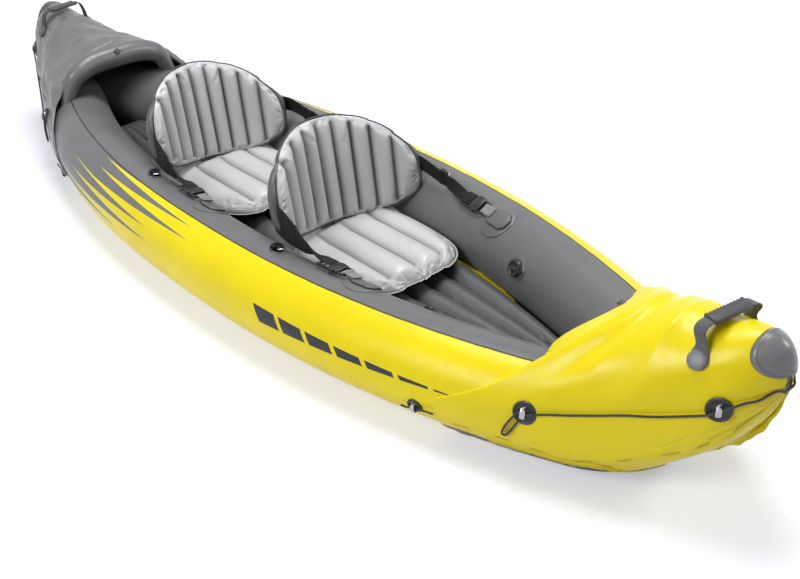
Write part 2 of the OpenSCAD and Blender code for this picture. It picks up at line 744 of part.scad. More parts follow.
// Side chamber valves: welded flange with a threaded neck, and a hinged cap.
valve_x = 720;
valve_a = 67;
neck_h = 8;
module valve_base() {
  color([0.14, 0.14, 0.15])
    on_chamber(valve_x, valve_a) {
      bent_disc(34, 2);
      difference() {
        translate([0, 0, 0.6])
          cylinder(r = cap_r, h = neck_h - 0.6);
        translate([0, 0, 2])
          cylinder(r = cap_r - 7, h = neck_h);
      }
    }
}
module valve_cap() {
  color([0.1, 0.1, 0.11])
    on_chamber(valve_x, valve_a)
      translate([0, 0, neck_h + 0.3]) {
        cylinder(r = cap_r + 1, h = 5);
        translate([-3, -5, 5])
          cube([6, 10, 3]);
        translate([cap_r - 2, -6, 1])
          cube([7, 12, 3]);
      }
}
module port_valve_base() {
  valve_base();
}
module port_valve_cap() {
  valve_cap();
}
module starboard_valve_base() {
  mirror([0, 1, 0])
    valve_base();
}
module starboard_valve_cap() {
  mirror([0, 1, 0])
    valve_cap();
}

// Floor valve: the same two pieces in a smaller size, flat on the middle flute.
floor_valve_x = 210 - floor_x;
module floor_valve_base() {
  color([0.14, 0.14, 0.15])
    translate([floor_valve_x, 0, floor_h + 0.3])
      difference() {
        union() {
          cylinder(r = 24, h = 2);
          cylinder(r = 15, h = 7);
        }
        translate([0, 0, 2])
          cylinder(r = 10, h = 10);
      }
}
module floor_valve_cap() {
  color([0.1, 0.1, 0.11])
    translate([floor_valve_x, 0, floor_h + 7.6]) {
      cylinder(r = 16, h = 4);
      translate([14, -4, 1])
        cube([6, 8, 2.5]);
    }
}

// Rib valves: small stems on the cockpit side of the ribs, each with a hinged plug.
rib_valve_a = 52;
module on_rib(top, sx) {
  translate([sx * top[0], 0, top[1]])
    rotate([0, -sx * rib_valve_a, 0])
      translate([0, 0, rib_r + 0.4])
        children();
}
module rib_valve() {
  color([0.2, 0.2, 0.21])
    difference() {
      union() {
        cylinder(r = 12, h = 1.6);
        cylinder(r = 7, h = 5);
      }
      translate([0, 0, 1.6])
        cylinder(r = 4, h = 6);
    }
}
module rib_plug() {
  color([0.16, 0.16, 0.17])
    translate([0, 0, 5.3]) {
      cylinder(r = 7.5, h = 2.5);
      translate([-2.5, 6, 0.4])
        cube([5, 5, 1.6]);
    }
}
module bow_rib_valve() {
  on_rib(bow_rib_top, 1)
    rib_valve();
}
module bow_rib_plug() {
  on_rib(bow_rib_top, 1)
    rib_plug();
}
module stern_rib_valve() {
  on_rib(stern_rib_top, -1)
    rib_valve();
}
module stern_rib_plug() {
  on_rib(stern_rib_top, -1)
    rib_plug();
}

// Seat valves: low stems on the seat bases and on the backs of the backrests.
module seat_valve() {
  color([0.2, 0.2, 0.21]) {
    cylinder(r = 11, h = 1.6);
    cylinder(r = 7, h = 4.5);
  }
}
base_valve_z = seam_z + 1 + (base_top - seam_z - 1) * base_edge(1 - 1 / base_flutes, 0);
module seat_base_valves() {
  for (x = [0, -seat_pitch])
    translate([x + 360, -base_hw * (1 - 1 / base_flutes), base_valve_z + 0.9])
      seat_valve();
}
module backrest_valve() {
  translate(back_mid(0, 0.5) - [0.8 * back_half(0, 0.5) + 0.6, 0, 0])
    rotate([0, -90 + atan(back_lean), 0])
      seat_valve();
}
module front_backrest_valve() {
  backrest_valve();
}
module rear_backrest_valve() {
  translate([-seat_pitch, 0, 0])
    backrest_valve();
}

port_side_chamber();
starboard_side_chamber();
bottom_skin();
floor_chamber();
bow_cover();
stern_cover();
bow_rib();
stern_rib();
bow_nose_patch();
stern_nose_patch();
bow_handle_anchors();
bow_handle_strap();
bow_handle_grip();
stern_handle_anchors();
stern_handle_strap();
stern_handle_grip();
bow_line_eyelets();
stern_line_eyelets();
side_tie_eyelets();
bow_grab_line();
stern_grab_line();
side_tie_cords();
front_seat_base();
rear_seat_base();
front_backrest();
rear_backrest();
front_seat_hinge();
rear_seat_hinge();
front_port_wing();
front_starboard_wing();
rear_port_wing();
rear_starboard_wing();
front_ladder_buckles();
rear_ladder_buckles();
front_anchor_webs();
rear_anchor_webs();
front_strap_anchors();
rear_strap_anchors();
front_side_ties();
rear_side_ties();
port_valve_base();
port_valve_cap();
starboard_valve_base();
starboard_valve_cap();
floor_valve_base();
floor_valve_cap();
bow_rib_valve();
bow_rib_plug();
stern_rib_valve();
stern_rib_plug();
seat_base_valves();
front_backrest_valve();
rear_backrest_valve();
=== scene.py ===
import math

import bmesh
import bpy
import numpy as np
from mathutils import Matrix, Vector


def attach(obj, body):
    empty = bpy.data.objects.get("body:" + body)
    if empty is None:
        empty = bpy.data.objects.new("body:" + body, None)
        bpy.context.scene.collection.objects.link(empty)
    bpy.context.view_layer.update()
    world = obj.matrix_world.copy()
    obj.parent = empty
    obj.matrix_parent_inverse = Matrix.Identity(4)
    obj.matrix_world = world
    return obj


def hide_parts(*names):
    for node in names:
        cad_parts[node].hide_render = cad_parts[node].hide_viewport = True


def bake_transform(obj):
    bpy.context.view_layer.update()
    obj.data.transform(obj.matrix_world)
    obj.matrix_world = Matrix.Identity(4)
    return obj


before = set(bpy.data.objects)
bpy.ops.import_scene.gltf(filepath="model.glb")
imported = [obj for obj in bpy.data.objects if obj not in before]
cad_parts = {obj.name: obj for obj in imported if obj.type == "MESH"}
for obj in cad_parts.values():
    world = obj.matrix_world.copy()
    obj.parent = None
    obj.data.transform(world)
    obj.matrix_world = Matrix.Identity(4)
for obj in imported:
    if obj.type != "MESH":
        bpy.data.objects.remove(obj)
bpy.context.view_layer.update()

# Studio. A wide white floor under broad soft light, and a camera off the starboard bow
# that looks down along the boat towards the stern.
scene = bpy.context.scene
scene.view_settings.view_transform = "Standard"
WHITE = (1, 1, 1, 1)
FLOOR_REACH, FLOOR_DROP = 30, -0.001


def add_node(tree, kind, values=None, **settings):
    made = tree.nodes.new(kind)
    for key, value in settings.items():
        setattr(made, key, value)
    for key, value in (values or {}).items():
        if isinstance(value, bpy.types.NodeSocket):
            tree.links.new(value, made.inputs[key])
        else:
            made.inputs[key].default_value = value
    return made


def wire(tree, kind, values=None, **settings):
    return add_node(tree, "ShaderNode" + kind, values, **settings)


def calc(tree, operation, a, b=0.5):
    return wire(tree, "Math", {0: a, 1: b}, operation=operation).outputs[0]


def ranged(tree, value, from_low, from_high, low, high, **settings):
    values = {"Value": value, 1: from_low, 2: from_high, 3: low, 4: high}
    return wire(tree, "MapRange", values, **settings).outputs[0]


def seen_straight(tree):
    path = wire(tree, "LightPath").outputs
    either = calc(tree, "MAXIMUM", path["Is Camera Ray"], path["Is Glossy Ray"])
    return calc(tree, "MAXIMUM", either, path["Is Transmission Ray"])


studio_air = bpy.data.worlds.new("studio_air")
scene.world = studio_air
studio_air.use_nodes = True
air = studio_air.node_tree
soft_fill = air.nodes["Background"]
soft_fill.inputs["Color"].default_value = (0.97, 0.985, 1, 1)
soft_fill.inputs["Strength"].default_value = 0.17
white_wall = wire(air, "Background", {"Color": WHITE, "Strength": 1.0})
air_mix = wire(air, "MixShader", {0: seen_straight(air), 1: soft_fill.outputs[0], 2: white_wall.outputs[0]})
air.links.new(air_mix.outputs[0], air.nodes["World Output"].inputs["Surface"])

floor_mesh = bpy.data.meshes.new("studio_floor")
floor_corners = [(x * FLOOR_REACH, y * FLOOR_REACH, FLOOR_DROP) for x, y in ((-1, -1), (1, -1), (1, 1), (-1, 1))]
floor_mesh.from_pydata(floor_corners, [], [(0, 1, 2, 3)])
studio_floor = bpy.data.objects.new("studio_floor", floor_mesh)
scene.collection.objects.link(studio_floor)
floor_white = bpy.data.materials.new("floor_white")
floor_white.use_nodes = True
ft = floor_white.node_tree
floor_coat = ft.nodes["Principled BSDF"]
floor_coat.inputs["Base Color"].default_value = (0.68, 0.69, 0.77, 1)
floor_coat.inputs["Roughness"].default_value = 0.9
floor_coat.inputs["Specular IOR Level"].default_value = 0.1
far = wire(ft, "VectorMath", {0: wire(ft, "TexCoord").outputs["Object"]}, operation="LENGTH").outputs["Value"]
lift = calc(ft, "MULTIPLY", seen_straight(ft), ranged(ft, far, 2.2, 6.0, 0.40, 1.0))
floor_glow = wire(ft, "Emission", {"Color": WHITE, "Strength": lift})
floor_sum = wire(ft, "AddShader", {0: floor_coat.outputs[0], 1: floor_glow.outputs[0]})
ft.links.new(floor_sum.outputs[0], ft.nodes["Material Output"].inputs["Surface"])
floor_mesh.materials.append(floor_white)

SOFT_BOXES = (("key_box", (0.5, -4.0, 3.1), (0.2, 0, 0.2), 2.0, 112),
              ("top_box", (-0.3, 0.8, 4.6), (0.1, 0, 0.2), 2.6, 175),
              ("bow_box", (3.6, 3.6, 3.0), (0.4, 0, 0.3), 1.6, 85))
for name, place, target, size, power in SOFT_BOXES:
    lamp = bpy.data.lights.new(name, "AREA")
    lamp.shape, lamp.size, lamp.energy = "DISK", size, power
    holder = bpy.data.objects.new(name, lamp)
    holder.location = place
    holder.rotation_euler = (Vector(target) - Vector(place)).to_track_quat("-Z", "Y").to_euler()
    scene.collection.objects.link(holder)

CAMERA_AT, CAMERA_LENS = (2.348, -1.606, 1.639), 48.2823
camera = bpy.data.objects.new("camera", bpy.data.cameras.new("camera"))
scene.collection.objects.link(camera)
scene.camera = camera
yaw, pitch, roll = 2.445, 0.567, -0.05
ahead = Vector((math.cos(pitch) * math.cos(yaw), math.cos(pitch) * math.sin(yaw), -math.sin(pitch)))
right = Vector((math.sin(yaw), -math.cos(yaw), 0))
up = right.cross(ahead)
right, up = math.cos(roll) * right + math.sin(roll) * up, math.cos(roll) * up - math.sin(roll) * right
camera.matrix_world = Matrix.Translation(CAMERA_AT) @ Matrix((right, up, -ahead)).transposed().to_4x4()
camera.data.sensor_fit = "HORIZONTAL"
camera.data.lens = CAMERA_LENS

# Side chambers. Two long air tubes of grey film with a yellow outer panel, lap welded along
# a dark seam just outboard of the crest. They taper together at bow and stern and rise there.
HALF_LENGTH, TUBE_R, TUBE_Z = 1.5775, 0.122, 0.1238
PLAN_REACH, PLAN_POWER, PLAN_END = 0.400, 2.3, -0.067
SHEER_X, SHEER_RISE = 1.2, 0.220
CLOSE_X, CLOSE_RUN = 1.4675, 0.11
SEAM_DEG, LIVERY_LENGTH = 11.5, 3.2
TWO_PI = 2 * math.pi
SIDES = (("port", 1), ("starboard", -1))
YELLOW = (0.84, 0.68, 0.004, 1)
TUBE_GREY = (0.15, 0.152, 0.157, 1)
SLATE = (0.035, 0.037, 0.042, 1)
SEAM_BLACK = (0.012, 0.012, 0.013, 1)


def smooth(t):
    t = np.clip(t, 0, 1)
    return t * t * (3 - 2 * t)


def bell(t, middle, width):
    return np.exp(-(((t - middle) / width) ** 2))


def crossed(a, b):
    return np.meshgrid(a, b, indexing="ij")


def tube_y(x):
    return PLAN_END + PLAN_REACH * (1 - (np.abs(x) / HALF_LENGTH) ** PLAN_POWER)


def tube_z(x):
    return TUBE_Z + SHEER_RISE * np.maximum(0, (np.abs(x) - SHEER_X) / (HALF_LENGTH - SHEER_X)) ** 2


def tube_end(x):
    return np.sqrt(np.maximum(0.03, 1 - np.maximum(0, (np.abs(x) - CLOSE_X) / CLOSE_RUN) ** 2.4))


def keel_in(x, a):
    """Draws the forefoot and heel in below the lower weld, so that the ends are fuller above than below."""
    fold = np.where(a > math.pi, TWO_PI - a, np.abs(a))
    return 1 - 0.22 * smooth((np.abs(x) - 1.28) / 0.2) * smooth((fold - np.radians(116)) / np.radians(36))


def mark(mesh, label, values):
    data = mesh.attributes.new(label, "FLOAT", "POINT").data
    data.foreach_set("value", values.astype(np.float32).ravel())


def film_mesh(name, p, uv=None, wrap=False, caps=False, flip=False, weld=None):
    """A grid of points as a sheet or, wrapped, as a tube; weld marks where the film is pressed, and on some pieces
    painted shade in its grooves and gathers.
    """
    n, m = p.shape[:2]
    i, j = crossed(np.arange(n - 1), np.arange(m if wrap else m - 1))
    k = (j + 1) % m
    order = [0, 3, 2, 1] if flip else [0, 1, 2, 3]
    quads = np.stack([i * m + j, (i + 1) * m + j, (i + 1) * m + k, i * m + k], -1)
    faces = quads[..., order].reshape(-1, 4).tolist()
    if uv is None:
        uv = np.stack(crossed(np.linspace(0, 1, n), np.linspace(0, 1, m + 1 if wrap else m)), -1)
    corners = np.stack([uv[i, j], uv[i + 1, j], uv[i + 1, j + 1], uv[i, j + 1]], 2)[:, :, order].reshape(-1, 2)
    if caps:
        first, last = list(range(m)), list(range((n - 1) * m, n * m))
        faces += [first[::-1], last] if flip else [first, last[::-1]]
        corners = np.concatenate([corners, np.zeros((2 * m, 2))])
    mesh = bpy.data.meshes.new(name)
    mesh.from_pydata(p.reshape(-1, 3).tolist(), [], faces)
    mesh.uv_layers.new(name="film").data.foreach_set("uv", corners.astype(np.float32).ravel())
    if weld is not None:
        mark(mesh, "weld", weld)
    mesh.shade_smooth()
    return mesh


def fit_piece(name, mesh, finish, nodes=(), body="hull"):
    made = bpy.data.objects.new(name, mesh)
    scene.collection.objects.link(made)
    if mesh.materials:
        mesh.materials.clear()
    mesh.materials.append(finish)
    if body:
        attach(made, body)
    if nodes:
        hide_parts(*nodes)
    return made


def ripples(seed, scale, *axes):
    """Smooth seeded unevenness, about -1 to 1, along the given coordinates in metres."""
    r = np.random.default_rng(seed)
    total = 0
    for _ in range(14):
        way = r.normal(size=len(axes)) / scale
        total = total + np.sin(sum(w * a for w, a in zip(way, axes)) * TWO_PI + r.uniform(0, TWO_PI))
    return total / 5


def new_finish(name):
    finish = bpy.data.materials.new(name)
    finish.use_nodes = True
    return finish, finish.node_tree, wire(finish.node_tree, "TexCoord").outputs["Object"]


def noise(tree, place, scale, detail, rough=0.5):
    values = {"Vector": place, "Scale": scale, "Detail": detail, "Roughness": rough}
    return wire(tree, "TexNoise", values).outputs[0]


def bump(tree, strength, distance, height, **under):
    values = {"Strength": strength, "Distance": distance, "Height": height, **under}
    return wire(tree, "Bump", values).outputs[0]


def dress(tree, colour, level, dull, normal, plain):
    """Colour times level, roughness and normal into the shader, and its plain values."""
    shader = tree.nodes["Principled BSDF"].inputs
    tint = wire(tree, "VectorMath", {0: colour, "Scale": level}, operation="SCALE").outputs[0]
    for socket, value in (("Base Color", tint), ("Roughness", dull), ("Normal", normal)):
        tree.links.new(value, shader[socket])
    for socket, value in plain.items():
        shader[socket].default_value = value


def film_finish(name, paint, rough=0.36, mottle=0.06, grain=0.03, coat=0.0, weld_and_shade_tint=0.35, gloss=0.5):
    """Calendered vinyl film: faint cloudiness, a fine emboss, dull and darker along its weld mark, which on some pieces
    also carries painted shade in grooves and gathers.
    """
    finish, tree, place = new_finish(name)
    smear = noise(tree, place, 38.0, 5.0, 0.65)
    weld = wire(tree, "Attribute", attribute_name="weld").outputs["Fac"]
    shade = ranged(tree, noise(tree, place, 7.0, 4.0, 0.6), 0.3, 0.7, 1 - mottle, 1 + mottle)
    # the weld mark darkens the colour: at welds, and as painted shade where a piece puts groove or gather shade into it
    level = calc(tree, "MULTIPLY", shade, calc(tree, "SUBTRACT", 1.0, calc(tree, "MULTIPLY", weld, weld_and_shade_tint)))
    dull = ranged(tree, smear, 0.3, 0.7, rough - 0.06, rough + 0.1)
    duller = calc(tree, "ADD", dull, calc(tree, "MULTIPLY", weld, 0.18))
    emboss = bump(tree, grain, 0.0006, noise(tree, place, 620.0, 2.0))
    plain = {"Specular IOR Level": gloss}
    if coat:
        plain.update({"Coat Weight": coat, "Coat Roughness": 0.18})
    colour = paint(tree) if callable(paint) else paint[:3]
    dress(tree, colour, level, duller, bump(tree, 0.07, 0.004, smear, Normal=emboss), plain)
    return finish


def mixed(tree, share, one, two):
    return wire(tree, "Mix", {0: share, 6: one, 7: two}, data_type="RGBA").outputs[2]


def side_livery(tree):
    """Grey inboard, yellow outboard of the seam; aft, grey streaks with pointed tips that widen and
    merge; ahead, a dashed dart."""
    def op(kind, a, b=0.5):
        return calc(tree, kind, a, b)

    uv = wire(tree, "SeparateXYZ", {0: wire(tree, "UVMap", uv_map="film").outputs[0]}).outputs
    x = op("MULTIPLY", op("SUBTRACT", uv[0], 0.5), LIVERY_LENGTH)
    deg = op("MULTIPLY", uv[1], 360.0)
    outer = op("MULTIPLY", op("GREATER_THAN", deg, SEAM_DEG), op("LESS_THAN", deg, 186.0))
    row = op("DIVIDE", op("SUBTRACT", deg, 16.0), 17.0)
    number = op("MAXIMUM", op("FLOOR", row), 0.0)
    jog = op("MULTIPLY", op("FRACT", op("MULTIPLY", number, 0.62)), 0.22)
    tip = op("SUBTRACT", op("ADD", 0.02, jog), op("MULTIPLY", number, 0.115))
    wide = ranged(tree, op("SUBTRACT", tip, x), 0.0, 0.62, 0.0, 0.54)
    streak = op("LESS_THAN", op("ABSOLUTE", op("SUBTRACT", op("FRACT", row), 0.5)), wide)
    bright = op("MULTIPLY", op("SUBTRACT", 1.0, streak), outer)
    bright = op("MULTIPLY", bright, op("GREATER_THAN", x, -1.05))
    slant = op("SUBTRACT", x, op("MULTIPLY", op("SUBTRACT", deg, 74.0), 0.0016))
    along = ranged(tree, slant, 0.36, 1.0, 0.0, 1.0, clamp=False)
    taper = op("MULTIPLY", op("SUBTRACT", 1.0, along), 10.0)
    near = op("LESS_THAN", op("ABSOLUTE", op("SUBTRACT", deg, 76.0)), taper)
    inside = op("MULTIPLY", op("GREATER_THAN", along, 0.0), op("LESS_THAN", along, 1.0))
    gaps = op("GREATER_THAN", op("FRACT", op("MULTIPLY", along, 7.0)), 0.16)
    dart = op("MULTIPLY", op("MULTIPLY", near, inside), gaps)
    seam = op("LESS_THAN", op("ABSOLUTE", op("SUBTRACT", deg, SEAM_DEG)), 0.85)
    panels = mixed(tree, bright, TUBE_GREY, YELLOW)
    return mixed(tree, seam, mixed(tree, dart, panels, SLATE), SEAM_BLACK)


tube_film = film_finish("tube_film", side_livery, rough=0.32, gloss=0.26)
for word, side in SIDES:
    rows = (HALF_LENGTH - 0.003) * np.sin(np.linspace(-math.pi / 2, math.pi / 2, 241))
    seam = np.radians(SEAM_DEG)
    by_seam = seam + np.radians([-3, -1.6, -0.8, 0, 0.8, 1.6, 3])
    turn = np.unique(np.round(np.append(np.linspace(0, TWO_PI, 84, endpoint=False), by_seam), 5))
    x, a = crossed(rows, turn)
    cy, k = tube_y(x), tube_end(x)
    flat = np.arcsin(np.clip(-cy / TUBE_R, 0, 0.97))
    b = np.where(a <= math.pi, flat + (math.pi - 2 * flat) * a / math.pi, a)
    inner = np.where(a > math.pi, np.cos(flat), 1)
    bead = bell(a, seam, np.radians(0.9))
    pull = bell(a, seam, np.radians(5)) * ripples(3, 0.05, x) * 0.0005
    r = (TUBE_R + 0.0012 * bead + pull - 0.0006) * keel_in(x, a)
    y = np.maximum(0.0005, k * (cy + r * np.sin(b)) + 0.0005)
    p = np.stack([x, side * y, tube_z(x) + k * inner * r * np.cos(b)], -1)
    uv = np.stack(crossed(rows / LIVERY_LENGTH + 0.5, np.append(turn, TWO_PI) / TWO_PI), -1)
    mesh = film_mesh(f"{word}_tube", p, uv, wrap=True, caps=True, flip=side < 0, weld=0.8 * bead)
    fit_piece(f"{word}_tube", mesh, tube_film, [f"{word}_side_chamber"])

# Bottom skin. One sheet of dark reinforced film under the whole boat, welded to both tubes
# a hand's breadth up from the ground, with a trimmed welding margin.
SKIN_END = 1.33
x, t = crossed(np.linspace(-SKIN_END, SKIN_END, 141), np.linspace(-1, 1, 25))
half = tube_y(x) + 0.012
rise = tube_z(x) - TUBE_R * keel_in(x, np.full(x.shape, math.pi)) - 0.0018
margin = np.abs(t) > 0.97
top = np.stack([x, half * t, rise + np.where(margin, 0.0011, 0.0015)], -1)
under = np.stack([x, -half * t, rise + np.where(margin, 0.0004, 0.0)], -1)
keel_black = film_finish("keel_black", (0.017, 0.018, 0.02, 1), rough=0.5, mottle=0.12, grain=0.12)
skin_mesh = film_mesh("bottom_sheet", np.concatenate([top, under], 1), wrap=True, caps=True, flip=True)
fit_piece("bottom_sheet", skin_mesh, keel_black, ["bottom_skin"])

# Floor chamber. An air mattress of dark grey film, its top and bottom welded together along
# four lines so that it swells into five long flutes, puckered where the welds hold it.
FLUTES, FLOOR_TOP, FLOOR_WELD = 5, 0.095, 0.034
FLOOR_X = HALF_LENGTH * ((PLAN_REACH + PLAN_END - 0.155) / PLAN_REACH) ** (1 / PLAN_POWER)
ACROSS = 131
rows = FLOOR_X * np.sin(np.linspace(-math.pi / 2, math.pi / 2, 261))
x, u = crossed(rows, np.linspace(-1, 1, ACROSS))
w = tube_y(x) - TUBE_R - 0.003
crown = np.abs(np.sin(math.pi / 2 * FLUTES * (u + 1)))
# darkness along the welds between the flutes: the weld marks and painted shade in the grooves beside them
floor_weld_and_shade = bell(crown, 0, 0.16) * (np.abs(u) < 0.93)
to_end = np.clip((FLOOR_X - np.abs(x)) / 0.07, 0.02, 1)
closing = np.sqrt(to_end * (2 - to_end))
depth = 0.024 * w / 0.208
pucker = 0.0022 * ripples(5, 0.03, x + 0.4 * u) * bell(crown, 0, 0.5) + 0.0006 * ripples(6, 0.2, x, u * w)
z = FLOOR_TOP - depth * (1 - crown ** 0.85) + np.minimum(pucker, 0.0005) * (np.abs(u) < 0.95)
z = FLOOR_WELD + (z - FLOOR_WELD) * closing
walls = ((1.0, 0.058), (1.0, 0.044), (1.0, FLOOR_WELD), (0.985, 0.018), (0.93, 0.0019))
ring = [np.stack([x, w * u, z], -1)]
for side, column, levels in ((1, -1, walls), (-1, 0, walls[::-1])):
    for share, height in levels:
        ring.append(np.stack([rows, side * w[:, 0] * share, np.minimum(z[:, column], height)], -1)[:, None])
ring = np.concatenate(ring, 1)
hold = np.zeros(ring.shape[:2])
hold[:, :ACROSS] = floor_weld_and_shade
floor_grey = film_finish("floor_grey_film", (0.098, 0.100, 0.104, 1), rough=0.30, mottle=0.08, weld_and_shade_tint=0.6)
mattress = film_mesh("floor_mattress", ring, wrap=True, caps=True, weld=hold)
floor_mattress = fit_piece("floor_mattress", mattress, floor_grey, ["floor_chamber"])

# Floor welts. A narrow strip of yellow film on each side, the edge of the tube's outer panel, that
# shows for a short length between the floor and the tube.
WELT_FROM, WELT_TO, WELT_Z = 0.40, 0.76, 0.0650
WELT_CUT = ((0.0005, 0.0), (0.0060, 0.0066), (0.0115, 0.0085), (0.0125, 0.0070), (0.0065, 0.0030))
x = np.linspace(WELT_FROM, WELT_TO, 60)
show = np.sqrt(np.clip(np.minimum(x - WELT_FROM, WELT_TO - x) / 0.10, 0.02, 1)) * (1 + 0.10 * ripples(8, 0.09, x))
edge = tube_y(x) - TUBE_R - 0.001
welt_yellow = film_finish("welt_yellow_film", YELLOW, rough=0.4, gloss=0.3)
for word, side in SIDES:
    strip = [np.stack([x, side * (edge + over * show), WELT_Z + up * show], -1) for over, up in WELT_CUT]
    mesh = film_mesh(f"{word}_welt", np.stack(strip, 1), wrap=True, caps=True, flip=side > 0)
    fit_piece(f"{word}_welt", mesh, welt_yellow)

# End covers. Sheets of film stretched over the tube ends and held up by an air rib: glossy
# yellow at the bow, where the edge rolls over its rib, and grey at the stern, where it is gathered.
BOW = {"tag": "bow", "way": 1, "edge": 1.0755, "dome": 0.8505, "lean": 1.0}
STERN = {"tag": "stern", "way": -1, "edge": 1.0625, "dome": 0.7005, "lean": 0.28}
CREST, SHEET_GAP, FILM_THICK = 0.2398, 0.0065, 0.0015
KEEL_BLACK = (0.015, 0.015, 0.017, 1)


def dome_rise(x, start):
    return 0.140 * np.clip(np.minimum((x - start) / 0.4, (1.5925 - x) / 0.245), 0, 1)


def skirt_end(x):
    k = tube_end(x)
    lap = math.pi - np.arcsin(np.clip((0.003 - k * tube_y(x)) / (k * TUBE_R + 0.0045), 0, 1))
    return np.minimum(np.radians(150 + 28 * np.clip((x - 1.2005) / 0.2, 0, 1)), lap)


def cover_section(x, a, g, start):
    """Height and half width of a cover at angle a from the crown, at distance g off the tubes."""
    k = tube_end(x)
    c, r = k * tube_y(x), k * TUBE_R * keel_in(x, a) + g
    upper = np.abs(a) <= math.pi / 2
    h = np.where(upper, dome_rise(x, start), 0)
    y = np.where(upper, (c + r) * np.sin(a), np.sign(a) * (c + r * np.abs(np.sin(a))))
    return y, tube_z(x) + (r + h) * np.cos(a)


def cover_point(end, xi, a):
    x = xi
    fade = np.clip(1 - (xi - end["edge"]) / 0.3, 0, 1)
    for _ in range(8):
        z = np.maximum(0.110, cover_section(x, a, SHEET_GAP, end["dome"])[1])
        x = xi + fade * np.where(z < CREST, 1.0, end["lean"]) * (z - CREST)
    return np.stack([x, *cover_section(x, a, SHEET_GAP, end["dome"])], -1)


def unit(v):
    return v / np.maximum(np.linalg.norm(v, axis=-1, keepdims=True), 1e-9)


def below(a, deg, fade):
    """One near the crown, none from the given angle down."""
    return smooth((np.radians(deg) - np.abs(a)) / np.radians(fade))


def cover_sheet(end, roll_top, roll_side, back, tongue=0.0):
    """Rows run from the curled edge to the nose, columns from the starboard skirt to the port one."""
    span = np.linspace(-1, 1, 181)
    body = 0.5 * (1 - np.cos(np.linspace(0, math.pi, 120)))
    first = np.full(span.shape, end["edge"] - back)
    a0 = skirt_end(first) * span
    tip, notch = (bell(np.abs(a0), np.radians(deg), np.radians(wide)) for deg, wide in ((63, 12), (85, 8)))
    first = first + tongue * (0.40 * tip - notch)
    roll = roll_side + (roll_top - roll_side) * below(a0, 78, 34)
    start = first + roll
    rows = start[None] + (HALF_LENGTH - 0.0005 - start[None]) * np.sin(body * math.pi / 2)[:, None]
    a = skirt_end(rows) * span
    p = cover_point(end, rows, a)
    near = cover_point(end, rows + 0.004, a)
    n = unit(np.cross(near - p, cover_point(end, rows, a + 0.01) - p))
    t = unit(p[0] - near[0])
    lip = []
    for turn in np.radians(np.linspace(118, 6, 12)):
        lip.append(p[0] - roll[:, None] * n[0] + roll[:, None] * (math.cos(turn) * n[0] + math.sin(turn) * t))
    return np.stack(lip), p, n, a, rows


def evaluated(made):
    return bpy.data.meshes.new_from_object(made.evaluated_get(bpy.context.evaluated_depsgraph_get()))


def finish_cover(end, lip, p, ease, weld, finish, under=None):
    """Joins the curled edge to the sheet, eased into it, and gives the film its thickness."""
    joint = lip + (p[0] - lip[-1])[None] * np.linspace(*ease, len(lip))[:, None, None]
    sheet = np.concatenate([joint, p]) * np.array([end["way"], 1, 1])
    name = end["tag"] + "_sheet"
    mesh = film_mesh(name, sheet, flip=end["way"] < 0, weld=np.concatenate([np.zeros(lip.shape[:2]), weld]))
    if under is not None:
        mark(mesh, "under", np.concatenate([np.repeat(under[:1], len(lip), 0), under]))
    made = fit_piece(name, mesh, finish, body=None)
    wall = made.modifiers.new("film", "SOLIDIFY")
    wall.thickness, wall.offset = FILM_THICK, -1
    solid = evaluated(made)
    made.modifiers.remove(wall)
    made.data = solid
    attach(made, "hull")
    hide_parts(end["tag"] + "_cover")


def skirt_margin(p, n, a, rows):
    """The lower welding margin: the sheet is pressed in along a line, then stands off in a trimmed flange."""
    share = np.abs(a) / skirt_end(rows)
    pressed = bell(share, 0.955, 0.010)
    flare = smooth((share - 0.965) / 0.03)
    move = -0.0016 * pressed + flare * (0.0035 + 0.0012 * ripples(21, 0.05, rows))
    return p + n * move[..., None], pressed


def keel_edge(tree):
    """Yellow down to the lower weld, black reinforced film below it."""
    return mixed(tree, wire(tree, "Attribute", attribute_name="under").outputs["Fac"], YELLOW, KEEL_BLACK)


def keel_line(x):
    return np.radians(122 + 58 * smooth((x - 1.28) / 0.14))


lip, p, n, a, rows = cover_sheet(BOW, 0.034, 0.004, 0.014, 0.026)
from_edge, turn = rows - BOW["edge"], np.abs(a)
sag = -0.010 * bell(from_edge, 0.085, 0.035) * below(a, 64, 30)
broad = 0.0034 * ripples(11, 0.30, rows, a * 0.16) * below(a, 85, 30) * smooth(from_edge / 0.06)
drawn = np.clip(ripples(12, 0.11, rows * 0.16 + 0.05 * turn, a * 0.20), -0.2, 1)
folds = -0.0024 * drawn * smooth((from_edge - 0.12) / 0.10) * smooth((1.55 - rows) / 0.08)
stem = bell(turn, np.radians(104), np.radians(16)) * smooth((rows - 1.34) / 0.1)
dents = -0.0035 * stem * np.clip(ripples(14, 0.05, rows * 0.5, a * 0.35), 0, 1)
low = smooth((turn - np.radians(112)) / np.radians(12))
slits = -0.0022 * low * np.clip(ripples(15, 0.06, rows * 0.35, a * 0.45), 0, 1)
dashed = smooth((np.sin(rows * TWO_PI / 0.061 + 0.7 * np.sin(rows * 47)) - 0.1) / 0.3)
dash = bell(turn, np.radians(111 + 2 * np.sin(rows * 31)), np.radians(1.3)) * dashed
p = p + n * (sag + broad + folds + dents + slits - 0.0022 * dash)[..., None]
p, pressed = skirt_margin(p, n, a, rows)
bow_yellow = film_finish("bow_yellow_film", keel_edge, rough=0.3, mottle=0.03, coat=0.10, weld_and_shade_tint=0.6, gloss=0.24)
under = (turn > keel_line(rows)) * 1.0
finish_cover(BOW, lip, p, (0, 0.6), np.maximum(pressed, dash), bow_yellow, under)

